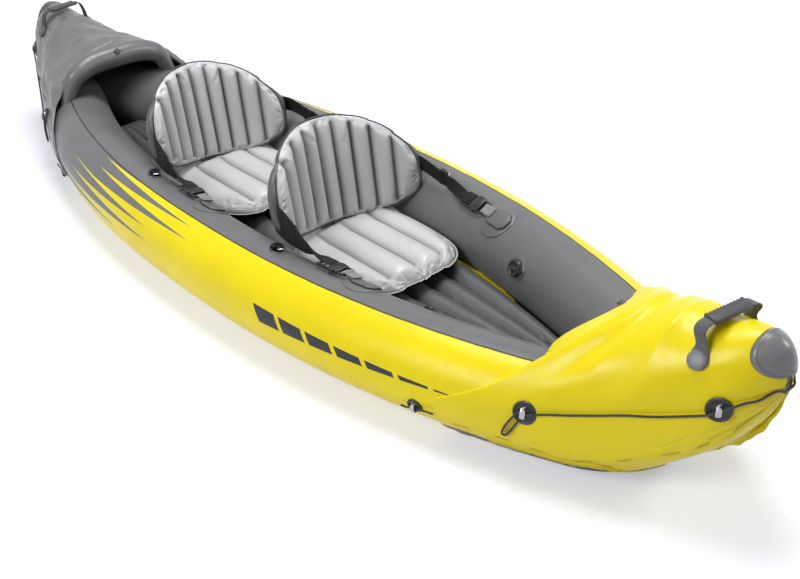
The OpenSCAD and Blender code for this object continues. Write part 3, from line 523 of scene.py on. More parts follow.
x = np.linspace(BOW["edge"] - 0.02, 1.375, 130)
flange_yellow = film_finish("flange_yellow_film", YELLOW, rough=0.34, mottle=0.05, gloss=0.24)
for word, side in SIDES:
    turn = side * (keel_line(x) - math.radians(3.5))
    at = lambda lift, more: np.stack([x, *cover_section(x, turn + side * more, SHEET_GAP + lift, BOW["dome"])], -1)
    upper, lower, out = at(0.0004, -0.060), at(0.0034, 0.062), unit(at(0.01, 0) - at(0, 0))
    ragged = lower + 0.0016 * ripples(17 + side, 0.035, x)[:, None] * unit(lower - upper)
    strip = [upper, (upper + lower) / 2 + 0.0006 * out, ragged, ragged - 0.0012 * out, at(-0.0008, 0.0)]
    weld = np.tile([0.0, 0.7, 0.0, 0.5, 0.5], (len(x), 1))
    fin = film_mesh(f"bow_{word}_flange", np.stack(strip, 1), wrap=True, caps=True, flip=side < 0, weld=weld)
    fit_piece(f"bow_{word}_flange", fin, flange_yellow)
FIN_FROM, FIN_TO = 1.33, HALF_LENGTH - 0.004
x = np.linspace(FIN_FROM, FIN_TO, 110)
root = np.stack([x, 0 * x, cover_section(x, skirt_end(x), 0.0060, BOW["dome"])[1]], -1)
run = unit(np.gradient(root, axis=0))
ends = np.sqrt(np.clip(np.minimum(x - FIN_FROM, FIN_TO - x) / 0.02, 0.02, 1))
wide = 0.011 * (0.85 + 0.30 * ripples(18, 0.045, x)) * ends
tip = root + wide[:, None] * np.stack([run[:, 2], 0.12 * ripples(19, 0.06, x), -run[:, 0]], -1)
thick = np.array([0, 0.0007, 0])
fin = np.stack([root + 3 * thick, tip + thick, tip - thick, root - 3 * thick], 1)
fit_piece("bow_stem_flange", film_mesh("bow_stem_flange", fin, wrap=True, caps=True), flange_yellow)

lip, p, n, a, rows = cover_sheet(STERN, 0.012, 0.004, 0.010)
from_edge = rows - STERN["edge"]
on_top, to_nose = below(a, 84, 20), smooth((1.55 - rows) / 0.06)
gather = np.exp(-np.clip(from_edge, 0, 1) / 0.045)
gathers = 0.004 * gather * ripples(31, 0.06, a * 0.28, rows * 0.25) * on_top
hang = -0.007 * (np.exp(-np.clip(from_edge - 0.03, 0, 1) / 0.05) + bell(from_edge, 0.2, 0.09)) * below(a, 60, 40)
folds = 0.0075 * ripples(32, 0.19, rows * 0.6 + 0.05 * a, a * 0.18) * on_top * to_nose
creases = 0.0014 * ripples(33, 0.08, rows * 0.4, a * 0.3) * smooth((1.56 - rows) / 0.05)
ridges = 0.5 - np.abs(ripples(34, 0.26, rows * 0.9 + 0.10 * np.abs(a), a * 0.20))
ridges = 0.0085 * ridges * on_top * to_nose * smooth(from_edge / 0.05)
by_handle = bell(rows, 1.41, 0.11) * below(a, 62, 24)
p = p + n * (gathers + hang + creases + (1 - by_handle) * (folds + ridges))[..., None]
p, pressed = skirt_margin(p, n, a, rows)
stern_grey = film_finish("stern_grey_film", (0.16, 0.162, 0.168, 1), rough=0.27, mottle=0.07)
# the gathered film along the edge is darkened through the weld mark: painted shade in its folds
finish_cover(STERN, lip, p, (0.3, 0.9), np.maximum(pressed, 0.5 * gather * on_top), stern_grey)

# Ribs. Fat arched air tubes across each end that hold the covers up off the tubes. The bow one
# is hidden under the yellow sheet; the stern one stands bare in front of its cover.
RIB_R, RIB_BEAD = 0.040, 0.0012


def rib_tube(end, foot, crown, finish, ends, tuck=0.0):
    """An arch from foot to crown; ends gives the least section and how fast the tube closes."""
    t = np.sin(np.linspace(-math.pi / 2, math.pi / 2, 97))
    share = 1 - np.abs(t) ** crown[2]
    path = np.stack([foot[0] + (crown[0] - foot[0]) * share, foot[1] * t, foot[2] + (crown[1] - foot[2]) * share], -1)
    path[:, 2] -= tuck * smooth((np.abs(t) - 0.66) / 0.34)
    path[:, 0] += 0.8 * tuck * smooth((np.abs(t) - 0.60) / 0.40)
    along = unit(np.gradient(path, axis=0))
    n = unit(np.cross(np.cross(along, np.array([0.12, 0.1, 1.0])), along))
    b = np.cross(n, along)
    size = RIB_R * np.sqrt(np.maximum(ends[0], 1 - np.abs(t) ** ends[1]))
    turn = np.linspace(0, TWO_PI, 48, endpoint=False)
    seam = bell(turn, math.pi, 0.05)
    wave = 0.0004 * ripples(41, 0.04, path[:, 1])[:, None] * bell(turn, math.pi, 0.5)
    r = (size[:, None] - 0.0006) + RIB_BEAD * seam + wave
    round_it = np.cos(turn)[None, :, None] * n[:, None] + np.sin(turn)[None, :, None] * b[:, None]
    p = (path[:, None] + r[..., None] * round_it) * np.array([end["way"], 1, 1])
    name = end["tag"] + "_rib"
    mesh = film_mesh(name + "_tube", p, wrap=True, caps=True, flip=end["way"] > 0, weld=np.broadcast_to(seam, r.shape))
    fit_piece(name + "_tube", mesh, finish, [name])


def rib_foot(x, out, up):
    return x, tube_y(x) + out, tube_z(x) + up


bow_crown = (BOW["edge"] + 0.129, TUBE_Z + 0.1942, 2)
rib_yellow = film_finish("rib_yellow_film", (0.8, 0.66, 0.012, 1), rough=0.42)
rib_tube(BOW, rib_foot(BOW["edge"] + 0.037, 0.011, 0.1336), bow_crown, rib_yellow, (0.06, 5))
stern_crown = (STERN["edge"] + 0.016, TUBE_Z + 0.2202, 3.5)
rib_grey = film_finish("rib_grey_film", (0.135, 0.137, 0.142, 1), rough=0.3)
rib_tube(STERN, rib_foot(STERN["edge"] - 0.044, 0.045, 0.1214), stern_crown, rib_grey, (0.25, 3.2), 0.055)

# Nose patches. Oval caps of thicker grey film welded over the tip of each cover, where the
# sheet is drawn together and takes the knocks.
PATCH_SPREAD, PATCH_PITCH, PATCH_LIFT = np.radians(20), math.radians(27), 0.0035


def nose_mesh(name, end):
    """Rays from inside the nose are cut where they leave the cover, and the cap stands just off that."""
    o = np.array([HALF_LENGTH - 0.282, 0, float(tube_z(HALF_LENGTH - 0.060))])
    r, a = crossed(PATCH_SPREAD * np.linspace(0.03, 1, 22), np.linspace(0, TWO_PI, 72, endpoint=False))
    v = unit(np.stack([np.cos(r), 0.61 * np.sin(r) * np.sin(a), 0.47 * np.sin(r) * np.cos(a)], -1))
    c, s = math.cos(PATCH_PITCH), math.sin(PATCH_PITCH)
    d = np.stack([c * v[..., 0] - s * v[..., 2], v[..., 1], s * v[..., 0] + c * v[..., 2]], -1)
    lo, hi = np.full(r.shape, 0.15), np.full(r.shape, 0.40)
    for _ in range(30):
        t = (lo + hi) / 2
        x, y, z = np.moveaxis(o + t[..., None] * d, -1, 0)
        k, up = tube_end(x), z - tube_z(x)
        wide = k * (tube_y(x) + TUBE_R) + SHEET_GAP
        tall = k * TUBE_R + SHEET_GAP + np.where(up > 0, dome_rise(x, end["dome"]), 0)
        inside = (x < HALF_LENGTH) & ((y / wide) ** 2 + (up / tall) ** 2 < 1)
        lo, hi = np.where(inside, t, lo), np.where(inside, hi, t)
    edge = r / PATCH_SPREAD
    off = PATCH_LIFT * np.sqrt(np.clip(1 - edge ** 14, 0.0, 1)) + 0.0045 * (edge < 0.995)
    uneven = 0.0010 * ripples(51, 0.06, d[..., 1] * 0.2, d[..., 2] * 0.2) * (edge < 0.9)
    off = off + uneven - 0.0012 * bell(edge, 0.9, 0.03)
    p = (o + (hi + off)[..., None] * d) * np.array([end["way"], 1, 1])
    return film_mesh(name, p, wrap=True, caps=True, flip=end["way"] > 0, weld=bell(edge, 0.9, 0.04))


patch_grey = film_finish("patch_grey_film", (0.155, 0.157, 0.162, 1), rough=0.3, mottle=0.08, coat=0.2)
patch_dark = film_finish("patch_dark_film", (0.085, 0.087, 0.092, 1), rough=0.36, mottle=0.08)
for end, finish in ((BOW, patch_grey), (STERN, patch_dark)):
    name = end["tag"] + "_nose"
    fit_piece(name + "_cap", nose_mesh(name + "_cap", end), finish, [name + "_patch"])

# Carry handles. A loop of grey webbing with rounded tabs welded to the cover under a round disc
# on each side, and a soft ribbed grip moulded round its middle.
HANDLE_X, GRIP_Z, TWIST, LOOP_TOP = 1.4305, 0.44680, 0.16, 0.4466
TAB_R, LOOP_HALF, LOOP_THICK, DISC_DEG = 0.0235, 0.0142, 0.0022, 40.2
END_FLIP = {1: np.eye(4), -1: np.diag([-1.0, 1, 1, 1])}
OVER_KEEL = np.array([1, -1, 1])


def frame_of(x, y, z, at):
    m = np.eye(4)
    m[:3, 0], m[:3, 1], m[:3, 2], m[:3, 3] = x, y, z, at
    return m


def laid(points, m):
    return points @ m[:3, :3].T + m[:3, 3]


def on_cover(end, x, deg, lift):
    """Frame on a cover: across the boat, along it and out of the sheet."""
    at = lambda x, a: np.array([x, *cover_section(np.array(x), np.array(a), SHEET_GAP, end["dome"])], float)
    a = math.radians(deg)
    n = unit(np.cross(at(x + 0.003, a) - at(x - 0.003, a), at(x, a + 0.02) - at(x, a - 0.02)))
    s = unit(np.cross(np.array([0, 0, 1.0]), n)) if abs(n[2]) < 0.999 else np.array([0, 1.0, 0])
    return frame_of(np.cross(s, n), s, n, at(x, a) + lift * n)


def off_cover(end, x, deg, lift):
    return on_cover(end, x, deg, lift)[:3, 3]


def turned(profile, sides=40):
    """A turned form: (radius, height) pairs in millimetres from the bottom axis round to the top axis."""
    v, f, rings = [], [], []
    for r, z in np.array(profile) / 1000:
        if r < 1e-6:
            rings.append([len(v)])
            v.append((0, 0, z))
        else:
            rings.append(list(range(len(v), len(v) + sides)))
            v += [(r * math.cos(TWO_PI * j / sides), r * math.sin(TWO_PI * j / sides), z) for j in range(sides)]
    for a, b in zip(rings, rings[1:]):
        for j in range(sides):
            k = (j + 1) % sides
            if len(a) == 1 and len(b) > 1:
                f.append((a[0], b[k], b[j]))
            elif len(b) == 1 and len(a) > 1:
                f.append((a[j], a[k], b[0]))
            elif len(a) > 1:
                f.append((a[j], a[k], b[k], b[j]))
    return np.array(v, float), f


def slab(size, at=(0, 0, 0), soften=1.0):
    """A block with rounded edges, in millimetres."""
    shape = bmesh.new()
    bmesh.ops.create_cube(shape, size=1)
    bmesh.ops.scale(shape, vec=[q / 1000 for q in size], verts=shape.verts)
    bmesh.ops.bevel(shape, geom=shape.edges[:], offset=soften / 1000, segments=3, profile=0.5, affect="EDGES")
    bmesh.ops.translate(shape, vec=[q / 1000 for q in at], verts=shape.verts)
    shape.verts.index_update()
    v = np.array([q.co for q in shape.verts], float)
    f = [tuple(q.index for q in face.verts) for face in shape.faces]
    shape.free()
    return v, f


def moved(part, *matrices):
    v, f = part
    for m in matrices:
        v = laid(v, m)
        if np.linalg.det(m[:3, :3]) < 0:
            f = [tuple(reversed(q)) for q in f]
    return v, f


def put(name, parts, finish, nodes=(), body="hull", crease=40):
    """Joins loose parts into one piece and fits it."""
    points, faces, first = [], [], 0
    for v, f in parts:
        points.append(v)
        faces += [tuple(i + first for i in q) for q in f]
        first += len(v)
    mesh = bpy.data.meshes.new(name)
    mesh.from_pydata(np.concatenate(points).tolist(), [], faces)
    mesh.shade_smooth()
    mesh.set_sharp_from_angle(angle=math.radians(crease))
    return fit_piece(name, mesh, finish, nodes, body)


def run_along(path):
    return np.concatenate([[0], np.cumsum(np.linalg.norm(np.diff(path, axis=0), axis=1))])


def curved(points, count):
    """An even smooth line through a few points."""
    p = np.asarray(points, float)
    q = np.concatenate([[2 * p[0] - p[1]], p, [2 * p[-1] - p[-2]]])
    t = np.linspace(0, 1, 24, endpoint=False)[:, None]
    out = []
    for a, b, c, d in zip(q, q[1:], q[2:], q[3:]):
        cubic = (3 * b - a - 3 * c + d) * t ** 3
        out.append(0.5 * (2 * b + (c - a) * t + (2 * a - 5 * b + 4 * c - d) * t ** 2 + cubic))
    out = np.concatenate(out + [p[-1:]])
    run = run_along(out)
    at = np.linspace(0, run[-1], count)
    return np.stack([np.interp(at, run, out[:, k]) for k in range(3)], -1)


def band_mesh(name, path, side, half, thick, belly=0.35, turn=False):
    """A strap with soft edges: path, the direction across it and its half width at each place."""
    side = unit(np.broadcast_to(side, path.shape).astype(float))
    n = unit(np.cross(side, unit(np.gradient(path, axis=0))))
    half = np.broadcast_to(half, len(path))
    swell = [(0.6, 0.5 + belly * 0.3), (0.97, 0.5)]
    cut = [(-1, 0)] + [(-c, h) for c, h in swell[::-1]] + [(0, 0.5 + belly * 0.4)] + swell + [(1, 0)]
    cut += [(c, -0.5) for c in (0.97, 0.6, 0, -0.6, -0.97)]
    p = np.stack([path + side * (half * c)[:, None] + n * (thick * h) for c, h in cut], 1)
    over = np.array([c for c, _ in cut] + [-1.0])
    uv = np.stack([np.broadcast_to(run_along(path)[:, None], (len(path), 13)), half[:, None] * over[None]], -1)
    return film_mesh(name, p, uv, wrap=True, caps=True, flip=turn)


def placed(mesh, m):
    mesh.transform(Matrix(m.tolist()))
    if np.linalg.det(m[:3, :3]) < 0:
        mesh.flip_normals()
    return mesh


def webbing_finish(name, colour, pitch=0.0016, rough=0.75, depth=0.5, sheen=0.15, gloss=0.4):
    """Woven strap: slanting yarns both ways, with painted shade between them so that their crests read lighter, fuzzy
    and dull.
    """
    finish, tree, place = new_finish(name)
    uv = wire(tree, "SeparateXYZ", {0: wire(tree, "UVMap", uv_map="film").outputs[0]}).outputs
    one, two = (calc(tree, "SINE", calc(tree, "MULTIPLY", calc(tree, slant, uv[0], uv[1]), TWO_PI / pitch))
                for slant in ("ADD", "SUBTRACT"))
    yarn = calc(tree, "MAXIMUM", one, two)
    fuzz = noise(tree, place, 240.0, 4.0)
    # painted shade: the colour is darkened between the yarns and lightened on their crests, following the bump pattern
    level = ranged(tree, calc(tree, "ADD", yarn, fuzz), -0.2, 1.6, 0.55, 1.25)
    shade = calc(tree, "MULTIPLY", level, ranged(tree, noise(tree, place, 30.0, 3.0), 0.3, 0.7, 0.85, 1.2))
    dull = ranged(tree, fuzz, 0.3, 0.7, rough - 0.08, rough + 0.1)
    plain = {"Sheen Weight": sheen, "Specular IOR Level": gloss}
    dress(tree, colour[:3], shade, dull, bump(tree, depth, 0.0004, yarn), plain)
    return finish


def plastic_finish(name, colour, rough=0.42, grain=0.25, metal=0.0):
    """Moulded plastic: fine spark texture, slight flow clouds, and a painted highlight that makes convex edges paler.
    """
    finish, tree, place = new_finish(name)
    cloud = noise(tree, place, 55.0, 4.0)
    # painted highlight: convex edges are made paler by their pointiness
    edge_highlight = ranged(tree, wire(tree, "NewGeometry").outputs["Pointiness"], 0.52, 0.62, 0.0, 0.5)
    shade = calc(tree, "ADD", ranged(tree, cloud, 0.3, 0.7, 0.88, 1.12), edge_highlight)
    dull = ranged(tree, cloud, 0.3, 0.7, rough - 0.07, rough + 0.1)
    spark = bump(tree, grain, 0.0002, noise(tree, place, 1500.0, 2.0))
    dress(tree, colour[:3], shade, dull, spark, {"Metallic": metal})
    return finish


def nodes_tree(name, *sizes):
    """A geometry tree with named number inputs, in the order given."""
    tree = bpy.data.node_groups.new(name, "GeometryNodeTree")
    tree.interface.new_socket("Geometry", in_out="INPUT", socket_type="NodeSocketGeometry")
    for label, start in sizes:
        kind = "NodeSocketInt" if isinstance(start, int) else "NodeSocketFloat"
        tree.interface.new_socket(label, in_out="INPUT", socket_type=kind).default_value = start
    tree.interface.new_socket("Geometry", in_out="OUTPUT", socket_type="NodeSocketGeometry")
    return tree, tree.nodes.new("NodeGroupInput").outputs


def geo(tree, kind, values=None, **settings):
    return add_node(tree, "GeometryNode" + kind, values, **settings).outputs


def end_tree(tree, shape, finish):
    real = geo(tree, "RealizeInstances", {0: shape})[0]
    dressed = geo(tree, "SetMaterial", {0: real, "Material": finish})[0]
    tree.links.new(dressed, tree.nodes.new("NodeGroupOutput").inputs[0])


def grown(name, source, tree, sizes):
    """Runs a geometry tree on a source mesh or curve and returns the plain mesh."""
    holder = bpy.data.objects.new(name, source)
    scene.collection.objects.link(holder)
    rule = holder.modifiers.new("rule", "NODES")
    rule.node_group = tree
    for item in tree.interface.items_tree:
        if item.item_type == "SOCKET" and item.in_out == "INPUT" and item.name in sizes:
            rule[item.identifier] = sizes[item.name]
    mesh = evaluated(holder)
    mesh.name = name
    holder.modifiers.remove(rule)
    bpy.data.objects.remove(holder)
    mesh.shade_smooth()
    return mesh


def bar_rule(name, finish, count, across, tall, wide):
    """A tree that sets flattened bars side by side along y."""
    tree, size = nodes_tree(name, ("Count", count), ("Length", across), ("Rib width", wide), ("Rib height", tall),
                            ("Rib span", 0.032))
    half = calc(tree, "MULTIPLY", size["Length"], 0.5)
    ends = [wire(tree, "CombineXYZ", {"Y": y}).outputs[0] for y in (calc(tree, "MULTIPLY", half, -1.0), half)]
    places = geo(tree, "MeshLine", {"Count": size["Count"], "Start Location": ends[0], "Offset": ends[1]},
                 mode="END_POINTS")[0]
    bar = geo(tree, "MeshCylinder", {"Vertices": 12, "Radius": 0.5, "Depth": size["Rib span"]})[0]
    flat = wire(tree, "CombineXYZ", {"X": size["Rib height"], "Y": size["Rib width"], "Z": 1.0}).outputs[0]
    bar = geo(tree, "Transform", {0: bar, "Scale": flat})[0]
    bar = geo(tree, "Transform", {0: bar, "Rotation": (0, math.pi / 2, 0)})[0]
    end_tree(tree, geo(tree, "InstanceOnPoints", {0: places, "Instance": bar})[0], finish)
    return tree


grip_rubber = plastic_finish("grip_rubber", (0.035, 0.036, 0.039, 1), rough=0.46)
rib_rule = bar_rule("grip_ribs", grip_rubber, 9, 0.092, 0.0034, 0.0052)
HANDLE_DISC = [(0, -0.6), (21, -0.6), (21.5, 0), (21, 0.8), (19, 1.2), (18.3, 2.2), (17.4, 2.7), (6, 3), (0, 3)]
LOOP_RISE = ((82.8, 399), (81.8, 416), (78.5, 432), (70, 442.5), (54, 446.3), (30, 446.6))


def carry_handle(end, strap_finish, disc_finish):
    flip, tag = END_FLIP[end["way"]], end["tag"]
    # the tabs and loop
    half = [off_cover(end, HANDLE_X, d, 0.0026) for d in (46.8, 44, 41, 38)] + [off_cover(end, HANDLE_X, 35.3, 0.0045)]
    half += [np.array([HANDLE_X, y / 1000, z / 1000]) for y, z in LOOP_RISE]
    path = curved(half + [np.array([HANDLE_X, 0, LOOP_TOP])] + [p * OVER_KEEL for p in half[::-1]], 150)
    path[:, 0] += TWIST * path[:, 1] * smooth((path[:, 2] - 0.402) / 0.036)
    run = run_along(path)
    to_end = np.minimum(run, run[-1] - run)
    tab = np.sqrt(np.maximum(0.002, 1 - (1 - to_end / TAB_R) ** 2)) * TAB_R
    wide = np.where(to_end < TAB_R, tab, LOOP_HALF + (TAB_R - LOOP_HALF) * bell(to_end, TAB_R, 0.017))
    mesh = band_mesh(f"{tag}_handle_loop", path, np.array([1.0, 0, 0]), wide, LOOP_THICK, turn=True)
    loop = fit_piece(f"{tag}_handle_loop", placed(mesh, flip), strap_finish, [f"{tag}_handle_strap"], None)
    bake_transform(loop)
    # the welded discs
    discs = [moved(turned(HANDLE_DISC), on_cover(end, HANDLE_X, side * DISC_DEG, 0.0040), flip) for side in (1, -1)]
    put(f"{tag}_handle_discs", discs, disc_finish, [f"{tag}_handle_anchors"])
    # the moulded grip
    sleeve = [slab((34.5, 104, 10.5), soften=4.2)] + [slab((35.5, 5, 11.8), (0, y, 0), 2.4) for y in (49.5, -49.5)]
    place = frame_of((1, -TWIST, 0), (TWIST, 1, 0), (0, 0, 1), (HANDLE_X, 0, GRIP_Z - 0.0002))
    grip = [moved(s, place, flip) for s in sleeve]
    put(f"{tag}_grip", grip, grip_rubber, [f"{tag}_handle_grip"], f"{tag}_handle", 35)
    sizes = {"Count": 11, "Rib span": 0.0325, "Rib height": 0.0013, "Rib width": 0.0036}
    ribs = grown(f"{tag}_grip_ribs", bpy.data.meshes.new("seed"), rib_rule, sizes)
    place[2, 3] = GRIP_Z + 0.0048
    fit_piece(f"{tag}_grip_ribs", placed(ribs, flip @ place), grip_rubber, body=f"{tag}_handle")


strap_grey = webbing_finish("strap_grey_web", (0.115, 0.118, 0.125, 1))
strap_dark = webbing_finish("strap_dark_web", (0.045, 0.047, 0.05, 1))
disc_grey = film_finish("disc_grey_film", (0.165, 0.167, 0.173, 1), rough=0.38, mottle=0.06, grain=0.2)
disc_dark = film_finish("disc_dark_film", (0.07, 0.072, 0.076, 1), rough=0.42, mottle=0.08, grain=0.2)
carry_handle(BOW, strap_grey, disc_grey)
carry_handle(STERN, strap_dark, disc_dark)

# Line eyelets. Black moulded discs welded to the cover sides and the tubes, each with a sunk
# field and a small bright bridge that the grab line runs under.
eyelet_black = plastic_finish("eyelet_black", (0.022, 0.022, 0.024, 1), rough=0.38)
bridge_steel = plastic_finish("bridge_steel", (0.42, 0.425, 0.44, 1), rough=0.3, metal=0.75)
EYE_MM, TIE_EYE_MM, BRIDGE_R = 27.5, 20, 0.0017
EYES = [(BOW["edge"] + 0.064, 77.5, 0.0003), (HALF_LENGTH - 0.080, 78.5, 0.0012)]
ARCH = [(12.5, 0), (11.5, 8), (7.5, 12.8)]
ARCH = [(-x, z) for x, z in ARCH] + [(0, 13.8)] + ARCH[::-1]
SIDE_FLIP = {1: np.eye(4), -1: np.diag([1.0, -1, 1, 1])}
TIE_X, TIE_DEG = BOW["edge"] - 0.200, -107


def shift(x=0.0, y=0.0, z=0.0):
    return frame_of((1, 0, 0), (0, 1, 0), (0, 0, 1), (x, y, z))


def stacked(layers, count, closed=False):
    """Faces between rings of count points each, with end faces unless the rings close on themselves."""
    f = []
    for i in range(layers if closed else layers - 1):
        for j in range(count):
            k, q = (j + 1) % count, (i + 1) % layers
            f.append((i * count + j, i * count + k, q * count + k, q * count + j))
    if not closed:
        f += [tuple(range(count))[::-1], tuple(range((layers - 1) * count, layers * count))]
    return f


def tube_along(path, r, sides=12, close=False, flat=1.0):
    """A round bar along a path, its ends closed, or a ring."""
    way = unit(np.roll(path, -1, 0) - np.roll(path, 1, 0) if close else np.gradient(path, axis=0))
    n = unit(np.cross(way, np.array([0.31, 0.17, 0.93])))
    b = np.cross(way, n)
    t = np.linspace(0, TWO_PI, sides, endpoint=False)
    p = path[:, None] + r * (np.cos(t)[None, :, None] * n[:, None] * flat + np.sin(t)[None, :, None] * b[:, None])
    return p.reshape(-1, 3), stacked(len(path), sides, close)


def in_profile(points, count):
    """An even smooth line, seen from the side, through (along, height) pairs in millimetres."""
    return curved([(x / 1000, 0, z / 1000) for x, z in points], count)


def eyelet_disc(r):
    """A disc with a rolled rim, a sunk field and a raised middle; its radius is in millimetres."""
    rim = [(0, -3), (r - 1.2, -3), (r, -1.2), (r, 1.6), (r - 1.4, 3.4), (r - 3.8, 3.8), (r - 6.2, 3), (r - 7.4, 1.4)]
    return turned(rim + [(r * 0.42, 0.8), (r * 0.36, 2), (r * 0.2, 2.2), (0, 2.2)], 56)


def eyelet_bridge(turn):
    bar = tube_along(in_profile(ARCH, 40), BRIDGE_R, 12, flat=3.4)
    c, s = math.cos(turn), math.sin(turn)
    return moved(bar, frame_of((c, s, 0), (-s, c, 0), (0, 0, 1), (0, 0, 0)))


for end in (BOW, STERN):
    flip, tag = END_FLIP[end["way"]], end["tag"]
    frames = [flip @ on_cover(end, x, side * deg, lift) for x, deg, lift in EYES for side in (1, -1)]
    discs = [moved(eyelet_disc(EYE_MM), m) for m in frames]
    put(f"{tag}_eyelets", discs, eyelet_black, [f"{tag}_line_eyelets"])
    arches = [moved(eyelet_bridge(0.0), m) for m in frames]
    put(f"{tag}_eyelet_bridges", arches, bridge_steel)


def on_tube(x, deg, side=1):
    """Frame on a tube: along it, over its crest towards the cockpit negative, and out of the film."""
    a = math.radians(deg)
    slope = PLAN_REACH * PLAN_POWER / HALF_LENGTH * (abs(x) / HALF_LENGTH) ** (PLAN_POWER - 1)
    turn = math.atan(-math.copysign(1, x) * slope)
    c, s, ca, sa = math.cos(turn), math.sin(turn), math.cos(a), math.sin(a)
    at = (x, float(tube_y(x)) - TUBE_R * sa, float(tube_z(x)) + TUBE_R * ca)
    return SIDE_FLIP[side] @ frame_of((c, s, 0), (-s * ca, c * ca, sa), (s * sa, -c * sa, ca), at)


def bent(part):
    """Lays a flat fitting round the tube."""
    v, f = part
    return np.stack([v[:, 0], v[:, 1], v[:, 2] - v[:, 1] ** 2 / (2 * TUBE_R)], -1), f


tie_frames = [END_FLIP[way] @ on_tube(TIE_X, TIE_DEG, side) for way in (1, -1) for side in (1, -1)]
discs = [moved(bent(eyelet_disc(TIE_EYE_MM)), shift(z=0.0012), m) for m in tie_frames]
put("side_eyelets", discs, eyelet_black, ["side_tie_eyelets"])
arches = [moved(eyelet_bridge(math.pi / 2), m) for m in tie_frames]
put("side_eyelet_bridges", arches, bridge_steel)

# Grab lines. Black laid cord, 6 mm, threaded through the eyelets of both sides and round the nose
# under its cap; short lengths of 5 mm cord tie the cover flaps to the side eyelets.
LINE_D, TIE_CORD_D, UNDER_BRIDGE = 0.006, 0.005, 0.0087
STRAND_R, LAY_R, LAY_TURNS = 0.0016, 0.00142, 70.0
cord_black, ct, cord_place = new_finish("cord_black")
fuzz = noise(ct, cord_place, 900.0, 4.0)
level = ranged(ct, calc(ct, "ADD", fuzz, noise(ct, cord_place, 26.0, 3.0)), 0.6, 1.4, 0.5, 1.6)
dress(ct, (0.02, 0.02, 0.021), level, ranged(ct, fuzz, 0.3, 0.7, 0.5, 0.75), bump(ct, 0.4, 0.0003, fuzz),
      {"Sheen Weight": 0.1})

lay_rule, lay_in = nodes_tree("laid_cord", ("Strand radius", STRAND_R), ("Lay radius", LAY_R),
                              ("Turns per metre", LAY_TURNS), ("Step", 0.0022))


def vector(operation, values):
    return wire(lay_rule, "VectorMath", values, operation=operation).outputs[0]


run = geo(lay_rule, "ResampleCurve", {"Curve": lay_in["Geometry"], "Length": lay_in["Step"]}, mode="LENGTH")[0]
normal = geo(lay_rule, "InputNormal")[0]
beside = vector("CROSS_PRODUCT", {0: geo(lay_rule, "InputTangent")[0], 1: normal})
turn = calc(lay_rule, "MULTIPLY", geo(lay_rule, "SplineParameter")["Length"], lay_in["Turns per metre"])
angle = calc(lay_rule, "MULTIPLY", turn, TWO_PI)
ring = geo(lay_rule, "CurvePrimitiveCircle", {"Resolution": 6, "Radius": lay_in["Strand radius"]})[0]
strands = add_node(lay_rule, "GeometryNodeJoinGeometry")
for strand in range(3):
    turned_by = calc(lay_rule, "ADD", angle, strand * TWO_PI / 3)
    one = vector("SCALE", {0: normal, "Scale": calc(lay_rule, "COSINE", turned_by)})
    two = vector("SCALE", {0: beside, "Scale": calc(lay_rule, "SINE", turned_by)})
    away = vector("SCALE", {0: vector("ADD", {0: one, 1: two}), "Scale": lay_in["Lay radius"]})
    strand_line = geo(lay_rule, "SetPosition", {0: run, "Offset": away})[0]
    skin = geo(lay_rule, "CurveToMesh", {"Curve": strand_line, "Profile Curve": ring, "Fill Caps": True})[0]
    lay_rule.links.new(skin, strands.inputs[0])
end_tree(lay_rule, strands.outputs[0], cord_black)


def line_curve(name, points):
    curve = bpy.data.curves.new(name, "CURVE")
    curve.dimensions = "3D"
    run = curve.splines.new("POLY")
    run.points.add(len(points) - 1)
    run.points.foreach_set("co", np.concatenate([points, np.ones((len(points), 1))], 1).astype(np.float32).ravel())
    return curve


def cord_piece(name, path, diameter, nodes=()):
    scale = diameter / LINE_D
    sizes = {"Strand radius": STRAND_R * scale, "Lay radius": LAY_R * scale, "Turns per metre": LAY_TURNS / scale}
    cord = fit_piece(name, grown(name, line_curve(name, path), lay_rule, sizes), cord_black, nodes)


BIGHT = [(-4, 2, 5), (-16, 9, 5), (-26, 15, 6), (-34, 19.5, 7), (-40.5, 19, 8), (-39.5, 14, 8.5), (-29, 7, 9)]
NOSE_TURN = [(-8, 33, 6), (3, 17, 4), (5, 0, 4), (3, -17, 4), (-8, -33, 6)]
(x0, d0, l0), (x1, d1, l1) = EYES
for end in (BOW, STERN):
    half = [off_cover(end, x0 + x / 1000, d0 + deg, up / 1000) for x, deg, up in BIGHT]
    half += [off_cover(end, x0 + x, d0, l0 + UNDER_BRIDGE) for x in (-0.012, 0, 0.012)]
    for t in np.arange(0.1, 0.9, 0.15):
        sag = 6.0 * math.sin(math.pi * t)
        half.append(off_cover(end, x0 + (x1 - x0) * t, d0 + (d1 - d0) * t - sag, 0.007))
    half += [off_cover(end, x1 + x, d1, l1 + UNDER_BRIDGE) for x in (-0.014, 0, 0.014)]
    half += [off_cover(end, HALF_LENGTH - x, deg, 0.006) for x, deg in ((0.045, 80), (0.028, 83))]
    tip = np.array([HALF_LENGTH, 0, float(tube_z(HALF_LENGTH)) - 0.008])
    nose = [tip + np.array(p) / 1000 for p in NOSE_TURN]
    path = curved(half + nose + [p * OVER_KEEL for p in half[::-1]], 520) * np.array([end["way"], 1, 1])
    cord_piece(end["tag"] + "_line", path, LINE_D, [end["tag"] + "_grab_line"])
TIE = [(-30, -4, 14), (-22, 6, 9), (-8, 1, 9.2), (0, 0, 9.2), (8, 0, 9.2), (24, -4, 9), (40, -8, 10), (56, -10, 11)]
for i, m in enumerate(tie_frames):
    path = curved(laid(np.array(TIE) / 1000, m), 60)
    cord_piece(f"tie_cord_{i + 1}", path, TIE_CORD_D, ["side_tie_cords"] if i == 0 else ())

